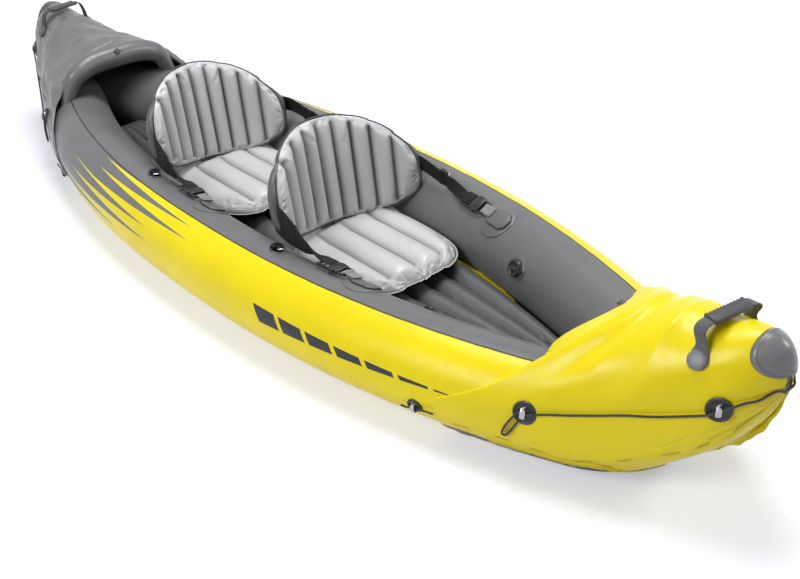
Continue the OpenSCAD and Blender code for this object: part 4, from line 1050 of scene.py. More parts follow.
# Seat pads. Each seat is an air base and an air backrest of light grey film on a dark back sheet,
# the two sheets welded at the rim and along straight lines, so that air swells them into flutes.
SEAT_STEP, SEAT_ROLL = -0.626, 0.075
SEATS = (("front", 0.0), ("rear", SEAT_STEP))
SEAT_WAYS, SEAT_DRAWS = (1, -1), (0.0, 0.013)
BACK_HALF, BACK_LEAN, BACK_WRAP, BACK_FOOT, BACK_TALL = 0.246, 0.22, 1.75, 0.166, 0.294
BASE_HALF, BASE_MID, BASE_REAR, BASE_LONG = 0.184, 0.130, 0.170, 0.366
BACK_PRESSURE, BASE_PRESSURE = 22, 13
SHEETS_APART, BLOW_FRAMES, AIR_FILL = 0.0008, 26, 0.9
FACING, BACKING = [0, 1, 2, 3], [0, 3, 2, 1]


def quads_of(g, order):
    return np.stack([g[:-1, :-1], g[1:, :-1], g[1:, 1:], g[:-1, 1:]], -1).reshape(-1, 4)[:, order].tolist()


def points_of(mesh):
    at = np.zeros(len(mesh.vertices) * 3, np.float32)
    mesh.vertices.foreach_get("co", at)
    return at.reshape(-1, 3).astype(float)


def rim_of(shape):
    rim = np.ones(shape, bool)
    rim[1:-1, 1:-1] = False
    return rim


def two_sheets(held):
    """Point numbers of a front and a back sheet, which share the points where they are held."""
    front = np.arange(held.size).reshape(held.shape)
    back = front.copy()
    back[~held] = held.size + np.arange((~held).sum())
    return front, back


def inflated(name, s, t, held, pressure):
    """Two flat sheets that share their welds are blown up as cloth; the front and back sheets come back."""
    front, back = two_sheets(held)
    flat = np.stack([s, t, np.where(held, 0, SHEETS_APART)], -1).reshape(-1, 3)
    under = np.stack([s, t, np.full(s.shape, -SHEETS_APART)], -1)[~held]
    mesh = bpy.data.meshes.new(name)
    faces = quads_of(front, FACING) + quads_of(back, BACKING)
    mesh.from_pydata(np.concatenate([flat, under]).tolist(), [], faces)
    pad = bpy.data.objects.new(name, mesh)
    scene.collection.objects.link(pad)
    air = pad.modifiers.new("air", "CLOTH")
    film = air.settings
    film.quality, film.mass = 6, 0.25
    film.tension_stiffness = film.compression_stiffness = 60
    film.shear_stiffness, film.bending_stiffness = 20, 0.02
    film.tension_damping = film.compression_damping = film.shear_damping = 8
    film.air_damping = 6
    film.use_pressure, film.uniform_pressure_force = True, pressure
    film.effector_weights.gravity = 0
    air.collision_settings.use_collision = False
    air.collision_settings.use_self_collision = False
    air.point_cache.frame_start, air.point_cache.frame_end = 1, BLOW_FRAMES
    for step in range(1, BLOW_FRAMES + 1):
        scene.frame_set(step)
    at = points_of(evaluated(pad))
    pad.modifiers.remove(air)
    bpy.data.objects.remove(pad)
    scene.frame_set(1)
    return at[front], at[back]


def blown_up(name, s, t, held, pressure):
    return inflated(name, s, t, held, pressure)


def welds_and_groove_shade(clear, step, pressed):
    """Where the sheets are held, at the rim and between flutes, and how dark the film is made there: the weld itself
    and painted shade in the groove on either side.
    """
    held, line = rim_of(clear.shape), np.zeros(clear.shape)
    for i in range(step, len(clear) - 1, step):
        run = clear[i]
        held[i, run], line[i, run] = True, pressed[0]
        # painted shade: the two rows on each side of a weld are darkened as well
        for beside in (1, 2):
            line[i - beside, run] = line[i + beside, run] = pressed[beside]
    return held, line


def calm(blown, s, t, share):
    """Keeps part of the wander of a blown sheet in its own plane, so that the rim stays a fair curve."""
    out = blown.copy()
    for k, flat in ((0, s), (1, t)):
        even = blown[..., k].mean() + (flat - flat.mean()) * blown[..., k].std() / flat.std()
        out[..., k] = even + share * (blown[..., k] - even)
    return out


def eased(blown, held, times):
    """Evens out the swell of a blown sheet between its welds."""
    out = blown.copy()
    for _ in range(times):
        z = out[..., 2]
        mean = z.copy()
        mean[1:-1, 1:-1] = (z[2:, 1:-1] + z[:-2, 1:-1] + z[1:-1, 2:] + z[1:-1, :-2]) / 4
        out[..., 2] = np.where(held, z, 0.4 * z + 0.6 * mean)
    return out


def mirrored(sheets, way):
    """The blown sheets as they are or, the other way, swapped over from port to starboard."""
    sheets = [q * np.array([way, 1, 1]) for q in sheets]
    return sheets if way > 0 else [q[::-1] for q in sheets]


def extent(sheet):
    return np.abs(sheet[..., 0]).max(), (sheet[..., 1].min(), sheet[..., 1].max())


def puckers(seed, to_rim, sheet):
    """Short gathers that run in from the rim, where the film is drawn together by the weld."""
    uneven = ripples(seed, 0.020, sheet[..., 0], sheet[..., 1])
    return 0.0115 * bell(to_rim, 0.011, 0.009) * np.clip(uneven - 0.08, 0, 1)


def fin_rings(sheet, width, middle, lay):
    """The thin welded fin: the rim line and its offset outwards, on both faces, laid on the pad's form."""
    rim = np.concatenate([sheet[:-1, 0], sheet[-1, :-1], sheet[:0:-1, -1], sheet[0, :0:-1]])
    loop = rim[:, :2]
    run = unit(np.roll(loop, -1, 0) - np.roll(loop, 1, 0))
    out = np.stack([run[:, 1], -run[:, 0]], -1)
    if ((loop - loop.mean(0)) * out).sum() < 0:
        out = -out
    rings = ((0, 0.0005), (width, 0.0004), (width, -0.0004), (0, -0.0005))
    return np.stack([lay(loop + wide * out, middle + rim[:, 2] + off) for wide, off in rings])


def seat_piece(name, sheets, weld, fin, fin_kind, body, node, under):
    """Closes the two placed sheets at their rim, adds the fin round it and fits the pad."""
    inside = ~rim_of(weld.shape)
    front, back = two_sheets(~inside)
    points = np.concatenate([sheets[0].reshape(-1, 3), sheets[1][inside]])
    ring = len(points) + np.pad(np.arange(fin.shape[0] * fin.shape[1]).reshape(fin.shape[:2]), (0, 1), "wrap")
    fin = fin.reshape(-1, 3)
    parts = ((quads_of(front, FACING), 0), (quads_of(back, BACKING), 1), (quads_of(ring, BACKING), fin_kind))
    mesh = bpy.data.meshes.new(name)
    mesh.from_pydata(np.concatenate([points, fin]).tolist(), [], [q for faces, _ in parts for q in faces])
    mesh.polygons.foreach_set("material_index", [kind for faces, kind in parts for _ in faces])
    mark(mesh, "weld", np.concatenate([weld.ravel(), weld[inside], np.full(len(fin), 0.2)]))
    mesh.shade_smooth()
    pad = fit_piece(name, mesh, pad_light, body=None)
    mesh.materials.append(under)
    finer = pad.modifiers.new("finer", "SUBSURF")
    finer.levels = finer.render_levels = 1
    pad.data = evaluated(pad)
    pad.modifiers.clear()
    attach(pad, body)
    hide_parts(node)


def back_place(s, t, off, size, base, draw):
    """A point of the flat backrest, off its middle, on the wrapped and leaning form, which sits a little rolled."""
    y = s * BACK_HALF / size
    z = BACK_FOOT + (t - base[0]) * BACK_TALL / (base[1] - base[0])
    y, z = y + SEAT_ROLL * (z - 0.30), z - SEAT_ROLL * y
    drawn = y - draw * (1 + y / BACK_HALF)
    mid = np.stack([0.162 + BACK_WRAP * y * y - BACK_LEAN * (z - 0.178), drawn, z - 0.04 * y], -1)
    n = unit(np.stack([np.ones_like(y), 0.0088 - 2 * BACK_WRAP * y, np.full_like(y, BACK_LEAN)], -1))
    return mid + n * off[..., None]


def base_place(s, t, z, size, ends):
    """A point of the flat base on its place; the rear rim is drawn up to the backrest."""
    x = BASE_REAR + (t - ends[0]) * BASE_LONG / (ends[1] - ends[0])
    raised = 0.030 * (1 - smooth((x - 0.168) / 0.075)) * np.clip((0.170 - z) / 0.04, 0, 1)
    return np.stack([x, -s * BASE_HALF / size, z + raised], -1)


# the tint darkens the light seat film along its welds and paints shade into the grooves beside them
pad_light = film_finish("pad_light_film", (0.53, 0.535, 0.54, 1), rough=0.34, mottle=0.03, weld_and_shade_tint=0.85)
pad_back = film_finish("pad_back_film", (0.075, 0.077, 0.08, 1), rough=0.4, mottle=0.08, weld_and_shade_tint=0.4)
pad_under = film_finish("pad_under_film", (0.02, 0.021, 0.023, 1), rough=0.5, mottle=0.1, weld_and_shade_tint=0.3)

# the backrests
u, v = crossed(np.linspace(-1, 1, 109), np.linspace(0, 1, 49))
low = 0.272 - 0.106 * np.sqrt(np.maximum(0, 1 - np.abs(u) ** 3.2))
high = 0.292 + 0.168 * np.sqrt(np.maximum(0, 1 - np.abs(u) ** 2.4))
tall = high - low
flat_s, flat_t = BACK_HALF * u, low + tall * v
welded, line = welds_and_groove_shade((v * tall > 0.012) & ((1 - v) * tall > 0.014), 12, (1, 0.55, 0.22))
blown = blown_up("backrest_blank", flat_s, flat_t, welded, BACK_PRESSURE)
blown = [calm(q, flat_s, flat_t, 0.28) for q in blown]
pillow = np.clip(1 - np.abs(2 * v - 1) ** 3, 0, 1) ** 0.6 * np.clip(1 - np.abs(u) ** 8, 0, 1) ** 0.5
ahead = 0.007 * (1 - pillow)
inset = (1 - np.abs(u)) * BACK_HALF
to_rim = np.minimum(np.minimum(v, 1 - v) * tall, inset * 1.4)
bulge = 0.024 * np.exp(-inset / 0.03) * (1 - np.exp(-inset / 0.005))
gusset = 0.014 * bell(inset, 0.022, 0.02) * pillow ** 0.5
for (tag, step), way, draw in zip(SEATS, SEAT_WAYS, SEAT_DRAWS):
    f, b = mirrored(blown, way)
    size, base = extent(f)
    lay = lambda q, off: back_place(q[..., 0], q[..., 1], off, size, base, draw) + np.array([step, 0, 0])
    front = lay(f, ahead + 0.009 * pillow + 1.55 * f[..., 2] - puckers(81 + way, to_rim, f))
    b[..., 0] += bulge * np.sign(f[..., 0]) * size / BACK_HALF
    back = lay(b, ahead - 0.012 * pillow - gusset + 0.75 * b[..., 2])
    fin = fin_rings(f, 0.0045, 0.007, lay)
    seat_piece(f"{tag}_back_pad", (front, back), line, fin, 1, f"{tag}_back", f"{tag}_backrest", pad_back)

# the bases
u, v = crossed(np.linspace(-1, 1, 65), np.linspace(-1, 1, 61))
base_x = 0.178 + 0.179 * (np.sin(v * math.pi / 2) + 1)
nose = np.maximum(0, 1 - np.maximum(0, (base_x - 0.2) / 0.345) ** 5.6) ** 0.36
base_w = BASE_HALF * np.minimum(1, nose) * np.sqrt(1 - np.maximum(0, (0.236 - base_x) / 0.078) ** 2)
inner = np.minimum(0.092, 0.6 * base_w)
outer = np.sign(u) * (inner + (base_w - inner) * (2 * np.abs(u) - 1))
flat_s = np.where(np.abs(u) <= 0.5, 2 * u * inner, outer)
welded, line = welds_and_groove_shade((base_x - 0.178 > 0.012) & (0.536 - base_x > 0.042), 16, (0.8, 0.4, 0.15))
blown = blown_up("seat_base_blank", flat_s, base_x, welded, BASE_PRESSURE)
blown = [eased(calm(q, flat_s, base_x, 0.3), welded, 6) for q in blown]
pillow = np.sqrt(np.clip((1 - np.abs(u) ** 5) * (1 - np.abs(np.sin(v * math.pi / 2)) ** 7), 0, 1))
to_rim = np.minimum((1 - np.abs(u)) * 0.5 * base_w, 0.358 - np.abs(base_x - 0.357) - 0.179)
beside = np.minimum(np.abs(np.abs(u) - 0.5), np.abs(u))
valley = 0.011 * bell(beside, 0, 0.045) * smooth((base_x - 0.480) / 0.02) * (1 - smooth((base_x - 0.516) / 0.018))
for (tag, step), way in zip(SEATS, SEAT_WAYS):
    f, b = mirrored(blown, way)
    size, ends = extent(f)
    lay = lambda q, z: base_place(q[..., 0], q[..., 1], z, size, ends) + np.array([step, 0, 0])
    pucker = puckers(91 + way, to_rim, f) * smooth((base_x - 0.40) / 0.05) + valley
    top = lay(f, BASE_MID + 0.021 * pillow + 0.92 * f[..., 2] - pucker)
    under = lay(b, np.maximum(0.0968, BASE_MID - 0.014 * pillow + 0.8 * b[..., 2]))
    fin = fin_rings(f, 0.0055, BASE_MID, lay)
    seat_piece(f"{tag}_base_pad", (top, under), line, fin, 0, "hull", f"{tag}_seat_base", pad_under)

# Seat hinges. A strip of dark film welded between the rear rim of each base and the lower rim of
# its backrest, so that the backrest can fold forward or lean back.
# this black film also makes the painted shadow ring under the strap tabs
hinge_and_shadow_dark = film_finish("hinge_and_shadow_dark_film", (0.012, 0.0122, 0.013, 1), rough=0.46, mottle=0.1)
HINGE_HALF, HINGE_THICK = 0.060, 0.0018
HINGE_LINE = [(178.5, 129), (171.5, 144), (165, 160), (162.5, 177)]
for tag, step in SEATS:
    path = in_profile(HINGE_LINE, 28) + np.array([step, 0, 0])
    strip = band_mesh(f"{tag}_hinge_strip", path, (0, 1, 0), HINGE_HALF, HINGE_THICK, belly=0.1)
    strip = fit_piece(f"{tag}_hinge_strip", strip, hinge_and_shadow_dark, [f"{tag}_seat_hinge"], None)
    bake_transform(strip)

# Backrest wings. Wide black webbing sewn to the back of each backrest's edge; it narrows, turns flat
# over the tube and threads the ladder buckle. Two rows of stitching hold its folded hems.
STRAP_DEG, TURNED_UP, TURN_LIFT = 28, 18, 0.0115
WING_Z, WING_THICK, WEB_HALF, HEM, THREAD_OFF = 0.2978, 0.0021, 0.0165, 0.0042, 0.0013
STITCH = {"Pitch": 0.0052, "Stitch length": 0.0036}
WING_ROOT = ((0.168, 0.196), (0.188, 0.219), (0.216, 0.2400))
WING_TIP = ((0.446, 0.0148), (0.460, 0.0140), (0.469, 0.0100), (0.4735, 0.0048))
wing_black = webbing_finish("wing_black_web", (0.009, 0.0092, 0.010, 1), pitch=0.0022, rough=0.72, depth=0.6,
                            sheen=0.03, gloss=0.2)
thread_grey = webbing_finish("thread_grey", (0.02, 0.0205, 0.022, 1), pitch=0.0012)
sew_rule, sew_in = nodes_tree("hem_stitches", *STITCH.items(), ("Thread radius", 0.0005))
run = geo(sew_rule, "CurveToPoints", {"Curve": sew_in["Geometry"], "Length": sew_in["Pitch"]}, mode="LENGTH")
thread = {"Vertices": 6, "Radius": sew_in["Thread radius"], "Depth": sew_in["Stitch length"]}
stitch = {0: run["Points"], "Instance": geo(sew_rule, "MeshCylinder", thread)[0], "Rotation": run["Rotation"]}
end_tree(sew_rule, geo(sew_rule, "InstanceOnPoints", stitch)[0], thread_grey)


def merged(name, meshes):
    both = bmesh.new()
    for mesh in meshes:
        both.from_mesh(mesh)
    mesh = bpy.data.meshes.new(name)
    both.to_mesh(mesh)
    both.free()
    return mesh


def strap_pt(x, h):
    a, r = math.radians(STRAP_DEG), TUBE_R + h
    return np.array([x, float(tube_y(x)) - r * math.sin(a), float(tube_z(x)) + r * math.cos(a)])


def wing(tag, word, step, side, tilt, turned_up, broad):
    z, raised = WING_Z - tilt, TURN_LIFT * turned_up / 30
    p, q = np.array([step + 0.246, 0.2520, z]), strap_pt(step + 0.426, 0.015 + raised)
    points = [(step + x, y, z) for x, y in WING_ROOT] + [p]
    points += [p + (q - p) * f + np.array([0, 0.006 * math.sin(math.pi * f), 0]) for f in (0.25, 0.5, 0.75)]
    points += [q] + [strap_pt(step + x, h + raised) for x, h in WING_TIP]
    path = curved(points, 140)
    x = path[:, 0]
    f = np.clip((x - p[0]) / (q[0] - p[0]), 0, 1)
    lean = np.radians(-6 + (90 - STRAP_DEG + turned_up + 6) * f ** 3.4)
    half = broad + (WEB_HALF - broad) * f ** 1.5
    face = np.stack([np.zeros_like(lean), -np.cos(lean), np.sin(lean)], -1)
    waves = 0.0026 * ripples(61 + side, 0.05, x) + 0.0012 * ripples(67 + side, 0.02, x)
    path = path + face * (np.sin(math.pi * f) ** 2 * waves)[:, None]
    across = np.stack([np.zeros_like(lean), np.sin(lean), np.cos(lean)], -1)
    path, across, face = (q * np.array([1, side, 1]) for q in (path, across, face))
    name = f"{tag}_{word}_wing"
    web = band_mesh(f"{name}_web", path, across, half, WING_THICK, belly=0.15, turn=True)
    band = fit_piece(f"{name}_web", web, wing_black, [name], None)
    rows = []
    for edge in (-1, 1):
        for over in (-1, 1):
            row = path + across * (edge * (half - HEM))[:, None] + face * over * THREAD_OFF
            rows.append(grown(f"{name}_row", line_curve(f"{name}_row", row[2:-8]), sew_rule, STITCH))
    sewn = fit_piece(f"{name}_stitches", merged(f"{name}_stitches", rows), thread_grey, body=None)
    for made in (band, sewn):
        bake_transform(made)


for tag, step in SEATS:
    wing(tag, "port", step, 1, 0.015, 0, 0.024)
    wing(tag, "starboard", step, -1, 0.004, TURNED_UP, 0.042)

# Strap fittings. Each wing ends in a moulded ladder buckle; a short web, folded round the buckle's end bar, runs to a
# tab of grey film on a round patch that is welded to the tube. The web's pale grey is partly its own colour and partly
# a painted highlight.
buckle_black = plastic_finish("buckle_black", (0.008, 0.008, 0.009, 1), rough=0.24, grain=0.1)
# the web's pale grey is partly its own colour and partly a painted highlight
web_grey_and_glint = webbing_finish("web_grey_and_glint", (0.21, 0.212, 0.218, 1), pitch=0.002, rough=0.6, depth=0.35)
patch_film = film_finish("patch_film", (0.125, 0.127, 0.132, 1), rough=0.36, mottle=0.05, weld_and_shade_tint=0.55)
tab_film = film_finish("tab_film", (0.11, 0.112, 0.117, 1), rough=0.34, mottle=0.06)
BUCKLE_X, BUCKLE_END, BUCKLE_STRETCH, TAB_SIZE = 0.462, 0.0285, 1.22, 1.22
ANCHOR_AHEAD, ANCHOR_WEB_HALF, ANCHOR_WEB_THICK = 0.112, 0.0155, 0.0018


def plate(outline, layers):
    """A flat moulding, in millimetres: an outline drawn in by each layer's inset, from its underside to its top."""
    reach = np.linalg.norm(outline, axis=1, keepdims=True)
    rings = [np.append(outline * (1 - inset / reach), np.full(reach.shape, z), 1) for inset, z in layers]
    return np.concatenate(rings) / 1000, stacked(len(layers), len(outline))


def rounded(points, round_by, steps=5):
    """An outline with its corners rounded."""
    p, out = np.array(points, float), []
    for a, b, c in zip(np.roll(p, 1, 0), p, np.roll(p, -1, 0)):
        one, two = b + unit(a - b) * round_by, b + unit(c - b) * round_by
        out += [(1 - t) ** 2 * one + 2 * t * (1 - t) * b + t ** 2 * two for t in np.linspace(0, 1, steps)]
    return np.array(out)


def rolled(deg):
    c, s = math.cos(math.radians(deg)), math.sin(math.radians(deg))
    return frame_of((1, 0, 0), (0, c, s), (0, -s, c), (0, 0, 0))


def both_sides(x, deg):
    return [on_tube(x, deg, side) for side in (1, -1)]


BUCKLE = [slab((36, 6, 7.2), (-13, y, 8.4), 2) for y in (-20.5, 20.5)]
BUCKLE += [slab((5.8, 38, 5.6), (-28.5, 0, 8.4), 2), slab((6.6, 38, 5), (-12.5, 0, 10.8), 1.8)]
BUCKLE += [slab((30, 46, 10), (14.5, 0, 8.8), 3), slab((17, 25, 2.2), (15, 0, 13.8), 1)]
BUCKLE += [slab((15, 5, 8.4), (12, y, 8.8), 2) for y in (-24, 24)]
BUCKLE += [slab((17, 5.5, 6.2), (36, y, 7.8), 1.8) for y in (-19.5, 19.5)] + [slab((5.2, 38, 5), (42.5, 0, 7.8), 1.8)]
LONGER = shift(x=-BUCKLE_END) @ np.diag([BUCKLE_STRETCH, 1, 1, 1]) @ shift(x=BUCKLE_END)
FOLD = [(102, 5.2), (70, 6), (52, 4), (46, 3), (40, 3.2), (36.4, 6), (38, 10.4), (42.5, 12), (47.5, 10.8), (53, 9)]
fold = in_profile(FOLD + [(62, 9.6), (70, 10.4), (78, 11.2)], 110) + np.array([0.0150, 0, 0])
ANCHOR = [(0, -0.6), (54.5, -0.6), (55, 0.8), (54, 1.7), (51.5, 2.1), (50.3, 1.5), (49, 2.2), (16, 2.6), (0, 2.7)]
anchor_disc = bent(turned(ANCHOR, 72))
TAB = [(-33, -11), (-22, -21.5), (20, -21.5), (32, -10), (32, 10), (20, 21.5), (-22, 21.5), (-33, 11)]
tab_line = TAB_SIZE * rounded(TAB, 5)
TAB_LAYERS = [(3, 2.6), (2.2, 4), (0, 5.2), (0, 6.6), (1, 8), (3, 8.6), (4.5, 8), (6, 8.6), (12, 8.8)]
# under each tab a black plate a little larger than it paints the tab's shadow as a dark outline
tab, tab_shadow_ring = (bent(moved(q, shift(0.006, 0.001))) for q in (
    plate(tab_line, TAB_LAYERS), plate(1.05 * tab_line, [(4, 2), (0, 3), (0, 4.2), (4, 4.6)])))
for tag, step in SEATS:
    frames = both_sides(BUCKLE_X + step, STRAP_DEG)
    raised = shift(y=0.003, z=TURN_LIFT * TURNED_UP / 30) @ rolled(-TURNED_UP)
    bars = [moved(b, m @ LONGER) for m in (frames[0], frames[1] @ raised) for b in BUCKLE]
    put(f"{tag}_buckles", bars, buckle_black, [f"{tag}_ladder_buckles"], crease=35)

    webs = []
    for m, up in zip(frames, (0, TURNED_UP)):
        share = up / 30 * (1 - smooth((fold[:, 0] - 0.062) / 0.045))
        c, s = np.cos(math.pi / 6 * share), np.sin(math.pi / 6 * share)
        path = np.stack([fold[:, 0], fold[:, 2] * s, TURN_LIFT * share + fold[:, 2] * c], -1)
        across = np.stack([0 * share, c, -s], -1) @ m[:3, :3].T
        webs.append(band_mesh("web", laid(path, m), across, ANCHOR_WEB_HALF, ANCHOR_WEB_THICK, belly=0.1, turn=True))
    name = f"{tag}_anchor_web_pair"
    fit_piece(name, merged(name, webs), web_grey_and_glint, [f"{tag}_anchor_webs"])

    frames = both_sides(BUCKLE_X + step + ANCHOR_AHEAD, STRAP_DEG + 1)
    for name, part, finish, nodes in (("anchor_patches", anchor_disc, patch_film, [f"{tag}_strap_anchors"]),
                                      ("anchor_tabs", tab, tab_film, ()), ("tab_shadow_rings", tab_shadow_ring, hinge_and_shadow_dark, ())):
        put(f"{tag}_{name}", [moved(part, m) for m in frames], finish, nodes, crease=50)

# Side ties. Beside each backrest a short black strap on a small welded patch, with a bright ring and a
# sliding buckle that shorten it.
ring_steel = plastic_finish("ring_steel", (0.62, 0.625, 0.64, 1), rough=0.22, metal=0.9, grain=0.08)
TIE_BEHIND, TIE_PATCH_DEG, TIE_HALF, TIE_THICK = 0.172, 14, 0.0100, 0.0016
tie_disc = bent(turned([(0, -0.6), (19.5, -0.6), (20, 0.6), (19.4, 1.6), (17, 2.1), (0, 2.4)]))
TIE_LOOP = [(-19, 2.8), (-12, 3.6), (-4, 4.6), (6, 5.6), (15, 6.6), (20, 8.6), (19, 11.2), (12, 11.2), (2, 10.4)]
tie_loop = in_profile(TIE_LOOP + [(-8, 10), (-15, 10.6)], 70)
turn = np.linspace(0, TWO_PI, 40, endpoint=False)
ring = np.stack([0.0215 + 0.0075 * np.cos(turn), 0.0125 * np.sin(turn), 0.0088 + 0.002 * np.cos(turn)], -1)
tie_ring = tube_along(ring, 0.0017, 10, close=True)
SLIDE = [slab((4.5, 26, 3), (x, 0, 12.4), 1.2) for x in (-8, 6)]
SLIDE += [slab((18.5, 3.5, 3.4), (-1, y, 12.2), 1.3) for y in (-12.5, 12.5)]
for tag, step in SEATS:
    frames = both_sides(BUCKLE_X + step - TIE_BEHIND, TIE_PATCH_DEG)
    discs = [moved(tie_disc, m) for m in frames]
    put(f"{tag}_tie_patches", discs, buckle_black, [f"{tag}_side_ties"])
    straps = [band_mesh("tie", laid(tie_loop, m), m[:3, 1], TIE_HALF, TIE_THICK, belly=0.1, turn=True)
              for m in frames]
    fit_piece(f"{tag}_tie_straps", merged(f"{tag}_tie_straps", straps), wing_black)
    put(f"{tag}_tie_rings", [moved(tie_ring, m) for m in frames], ring_steel)
    slides = [moved(b, m) for m in frames for b in SLIDE]
    put(f"{tag}_tie_slides", slides, buckle_black, crease=35)

# Chamber valves. A soft flange welded into the film, a threaded neck and a flat screw cap on a tether;
# the cap has a knurled rim, a sunk face and a cross shaped pull.
valve_dark = plastic_finish("valve_dark", (0.020, 0.020, 0.022, 1), rough=0.36, grain=0.15)
flange_film = film_finish("flange_film", (0.105, 0.107, 0.112, 1), rough=0.36, mottle=0.06)
VALVE_X, VALVE_DEG, FLOOR_VALVE_AT, KNURL_R = 0.720, 67, (-0.8994, 0, 0.0953), 0.0007
knurl_rule, knurl_in = nodes_tree("cap_knurl", ("Count", 30), ("Rim radius", 0.0218), ("Knurl height", 0.0036),
                                  ("Knurl radius", KNURL_R))
ring = geo(knurl_rule, "MeshCircle", {"Vertices": knurl_in["Count"], "Radius": knurl_in["Rim radius"]})[0]
knurl = {"Vertices": 8, "Radius": knurl_in["Knurl radius"], "Depth": knurl_in["Knurl height"]}
knurl = geo(knurl_rule, "MeshCylinder", knurl)[0]
end_tree(knurl_rule, geo(knurl_rule, "InstanceOnPoints", {0: ring, "Instance": knurl})[0], valve_dark)


def screw_cap(r, tall):
    """The cap's face, its cross shaped pull and its tether, in millimetres."""
    rim = [(0, 0), (r - 0.6, 0), (r, 0.6), (r, tall - 1), (r - 1, tall), (r - 4.2, tall), (r - 5.2, tall - 1.4)]
    face = turned(rim + [(r - 6.2, tall - 2.2), (6, tall - 2.2), (5.5, tall - 1.8), (0, tall - 1.7)], 56)
    long = 2 * r - 15
    pull = [slab((long, 4.6, 4), (0, 0, tall - 1), 1.2), slab((4.6, long, 3), (0, 0, tall - 1.4), 1.2)]
    return [face] + pull + [slab((8.5, 10, 1.8), (r + 3, 0, 1.2), 0.8), slab((3, 12.5, 3), (r + 6.4, 0, 1.2), 1.2)]


def chamber_valve(tag, m, flange, neck, cap, cap_z, knurl_z, count, radius, height):
    put(f"{tag}_valve_flange", [moved(flange, m)], flange_film)
    put(f"{tag}_valve_neck", [moved(neck, m)], valve_dark, [f"{tag}_valve_base"], crease=50)
    place = m @ shift(z=cap_z)
    parts = [moved(q, place) for q in screw_cap(*cap)]
    put(f"{tag}_screw_cap", parts, valve_dark, [f"{tag}_valve_cap"], f"{tag}_cap")
    sizes = {"Count": count, "Rim radius": radius, "Knurl height": height, "Knurl radius": KNURL_R}
    mesh = grown(f"{tag}_cap_knurls", bpy.data.meshes.new("seed"), knurl_rule, sizes)
    mesh = placed(mesh, place @ shift(z=knurl_z))
    fit_piece(f"{tag}_cap_knurls", mesh, valve_dark, body=f"{tag}_cap")


SIDE_FLANGE = [(0, -0.6), (33.4, -0.6), (34, 0.4), (33.4, 1.3), (31.2, 1.9), (30.4, 1.4), (29.6, 1.9), (26.2, 2.2)]
side_flange = bent(turned(SIDE_FLANGE + [(25, 3), (24.6, 2.6), (0, 2.6)], 64))
SIDE_NECK = [(14, 1), (23.6, 1), (24, 2), (23.6, 3), (21.4, 3.4), (21, 4.2), (21.6, 4.8), (21, 5.6), (21.6, 6.2)]
side_neck = turned(SIDE_NECK + [(21, 7), (20.4, 7.9), (14.6, 8), (14, 7.6), (14, 1)], 56)
for word, side in SIDES:
    m = on_tube(VALVE_X, VALVE_DEG, side)
    chamber_valve(word, m, side_flange, side_neck, (21.5, 5.2), 0.0083, 0.0026, 36, 0.0216, 0.0040)
FLOOR_FLANGE = [(0, -4), (23.6, -4), (24, 0.6), (23.4, 1.6), (21.4, 2), (20.6, 1.4), (19.8, 2), (0, 2)]
FLOOR_NECK = [(10, 1.2), (16.5, 1.2), (16.8, 2.4), (15, 3), (14.7, 4), (15.2, 4.6), (14.7, 5.4), (14.4, 7), (10.4, 7.1)]
floor_neck = turned(FLOOR_NECK + [(10, 6.8), (10, 1.2)], 48)
chamber_valve("floor", shift(*FLOOR_VALVE_AT), turned(FLOOR_FLANGE, 56), floor_neck, (15.8, 4.2), 0.0073, 0.0021,
              28, 0.0159, 0.0032)

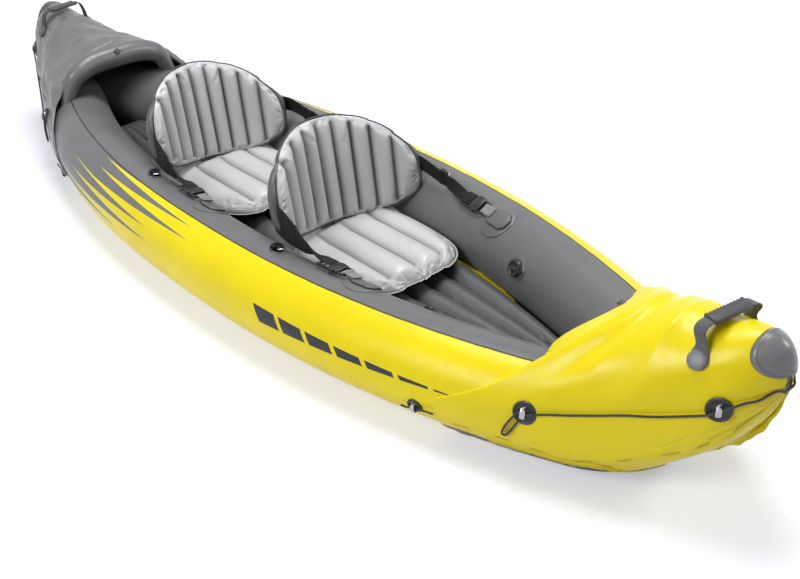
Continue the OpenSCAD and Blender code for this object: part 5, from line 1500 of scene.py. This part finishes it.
# Rib valves. Small soft stems welded to the cockpit side of each air rib, closed by a push plug on
# a short tab.
stem_grey = plastic_finish("stem_grey", (0.06, 0.061, 0.065, 1), rough=0.42, grain=0.1)
STEM_TIP = math.radians(52)
STEM = [(0, -2), (11.6, -2), (12, 0), (11.6, 0.9), (9, 1.5), (7.4, 1.9), (7, 2.6), (6.9, 4.6), (6.5, 5), (4.4, 5)]
STEM += [(4, 4.6), (4, 1.7), (0, 1.7)]
PLUG = [(0, 5.3), (7.2, 5.3), (7.5, 5.8), (7.5, 7), (7, 7.7), (5.2, 7.7), (4.6, 7), (0, 7)]
plug = [turned(PLUG), slab((5, 6, 1.4), (0, 8.5, 6.5), 0.6), slab((6.6, 2.4, 2), (0, 11.2, 6.5), 0.9)]
for end, crown in ((BOW, bow_crown), (STERN, stern_crown)):
    tag, way = end["tag"], end["way"]
    c, s = math.cos(STEM_TIP), way * math.sin(STEM_TIP)
    out = np.array([-s, 0, c])
    m = frame_of((c, 0, s), (0, 1, 0), out, np.array([way * crown[0], 0, crown[1]]) + out * (RIB_R + 0.0004))
    put(f"{tag}_rib_stem", [moved(turned(STEM), m)], stem_grey, [f"{tag}_rib_valve"], crease=45)
    plugs = [moved(q, m) for q in plug]
    put(f"{tag}_push_plug", plugs, stem_grey, [f"{tag}_rib_plug"], f"{tag}_plug")

# Seat valves. Low moulded stems with a pressed-in stopper, welded into the film: a pale one on top of
# each base's outer flute and a grey one on the back of each backrest.
stem_pale = plastic_finish("stem_pale", (0.46, 0.465, 0.475, 1), rough=0.4, grain=0.1)
BASE_STEM_AT, BACK_STEM_AT, STEM_SUNK = (0.360, -0.138, 0.150), (0.131, 0.0, 0.319), 0.0035
LOW_STEM = [(0, -3), (10.6, -3), (11, -0.4), (10.6, 0.6), (8.6, 1.2), (7.4, 1.4), (7, 2), (7, 2.6), (6.4, 3), (5, 3)]
low_stem = turned(LOW_STEM + [(4.6, 2.2), (0, 2.2)])


def on_pad(name, near, out):
    """A frame on the outside of a pad, at the place of its surface that is nearest the given line."""
    d = points_of(bpy.data.objects[name].data) - near
    along = d @ out
    aside = np.linalg.norm(d - along[:, None] * out, axis=1)
    top = along[aside < 0.004].max()
    side = unit(np.cross(np.array([0.0, 1, 0]), out))
    return frame_of(side, np.cross(out, side), out, near + out * (top - 0.0006))


stems = []
for tag, step in SEATS:
    m = on_pad(f"{tag}_base_pad", np.array(BASE_STEM_AT) + (step, 0, 0), np.array([0.0, 0, 1]))
    stems.append(moved(low_stem, m @ shift(z=-STEM_SUNK)))
put("base_stems", stems, stem_pale, ["seat_base_valves"], crease=45)
for tag, step in SEATS:
    m = on_pad(f"{tag}_back_pad", np.array(BACK_STEM_AT) + (step, 0, 0), unit(np.array([-1.0, 0, -BACK_LEAN])))
    stem = [moved(low_stem, m)]
    put(f"{tag}_back_stem", stem, stem_grey, [f"{tag}_backrest_valve"], f"{tag}_back", 45)
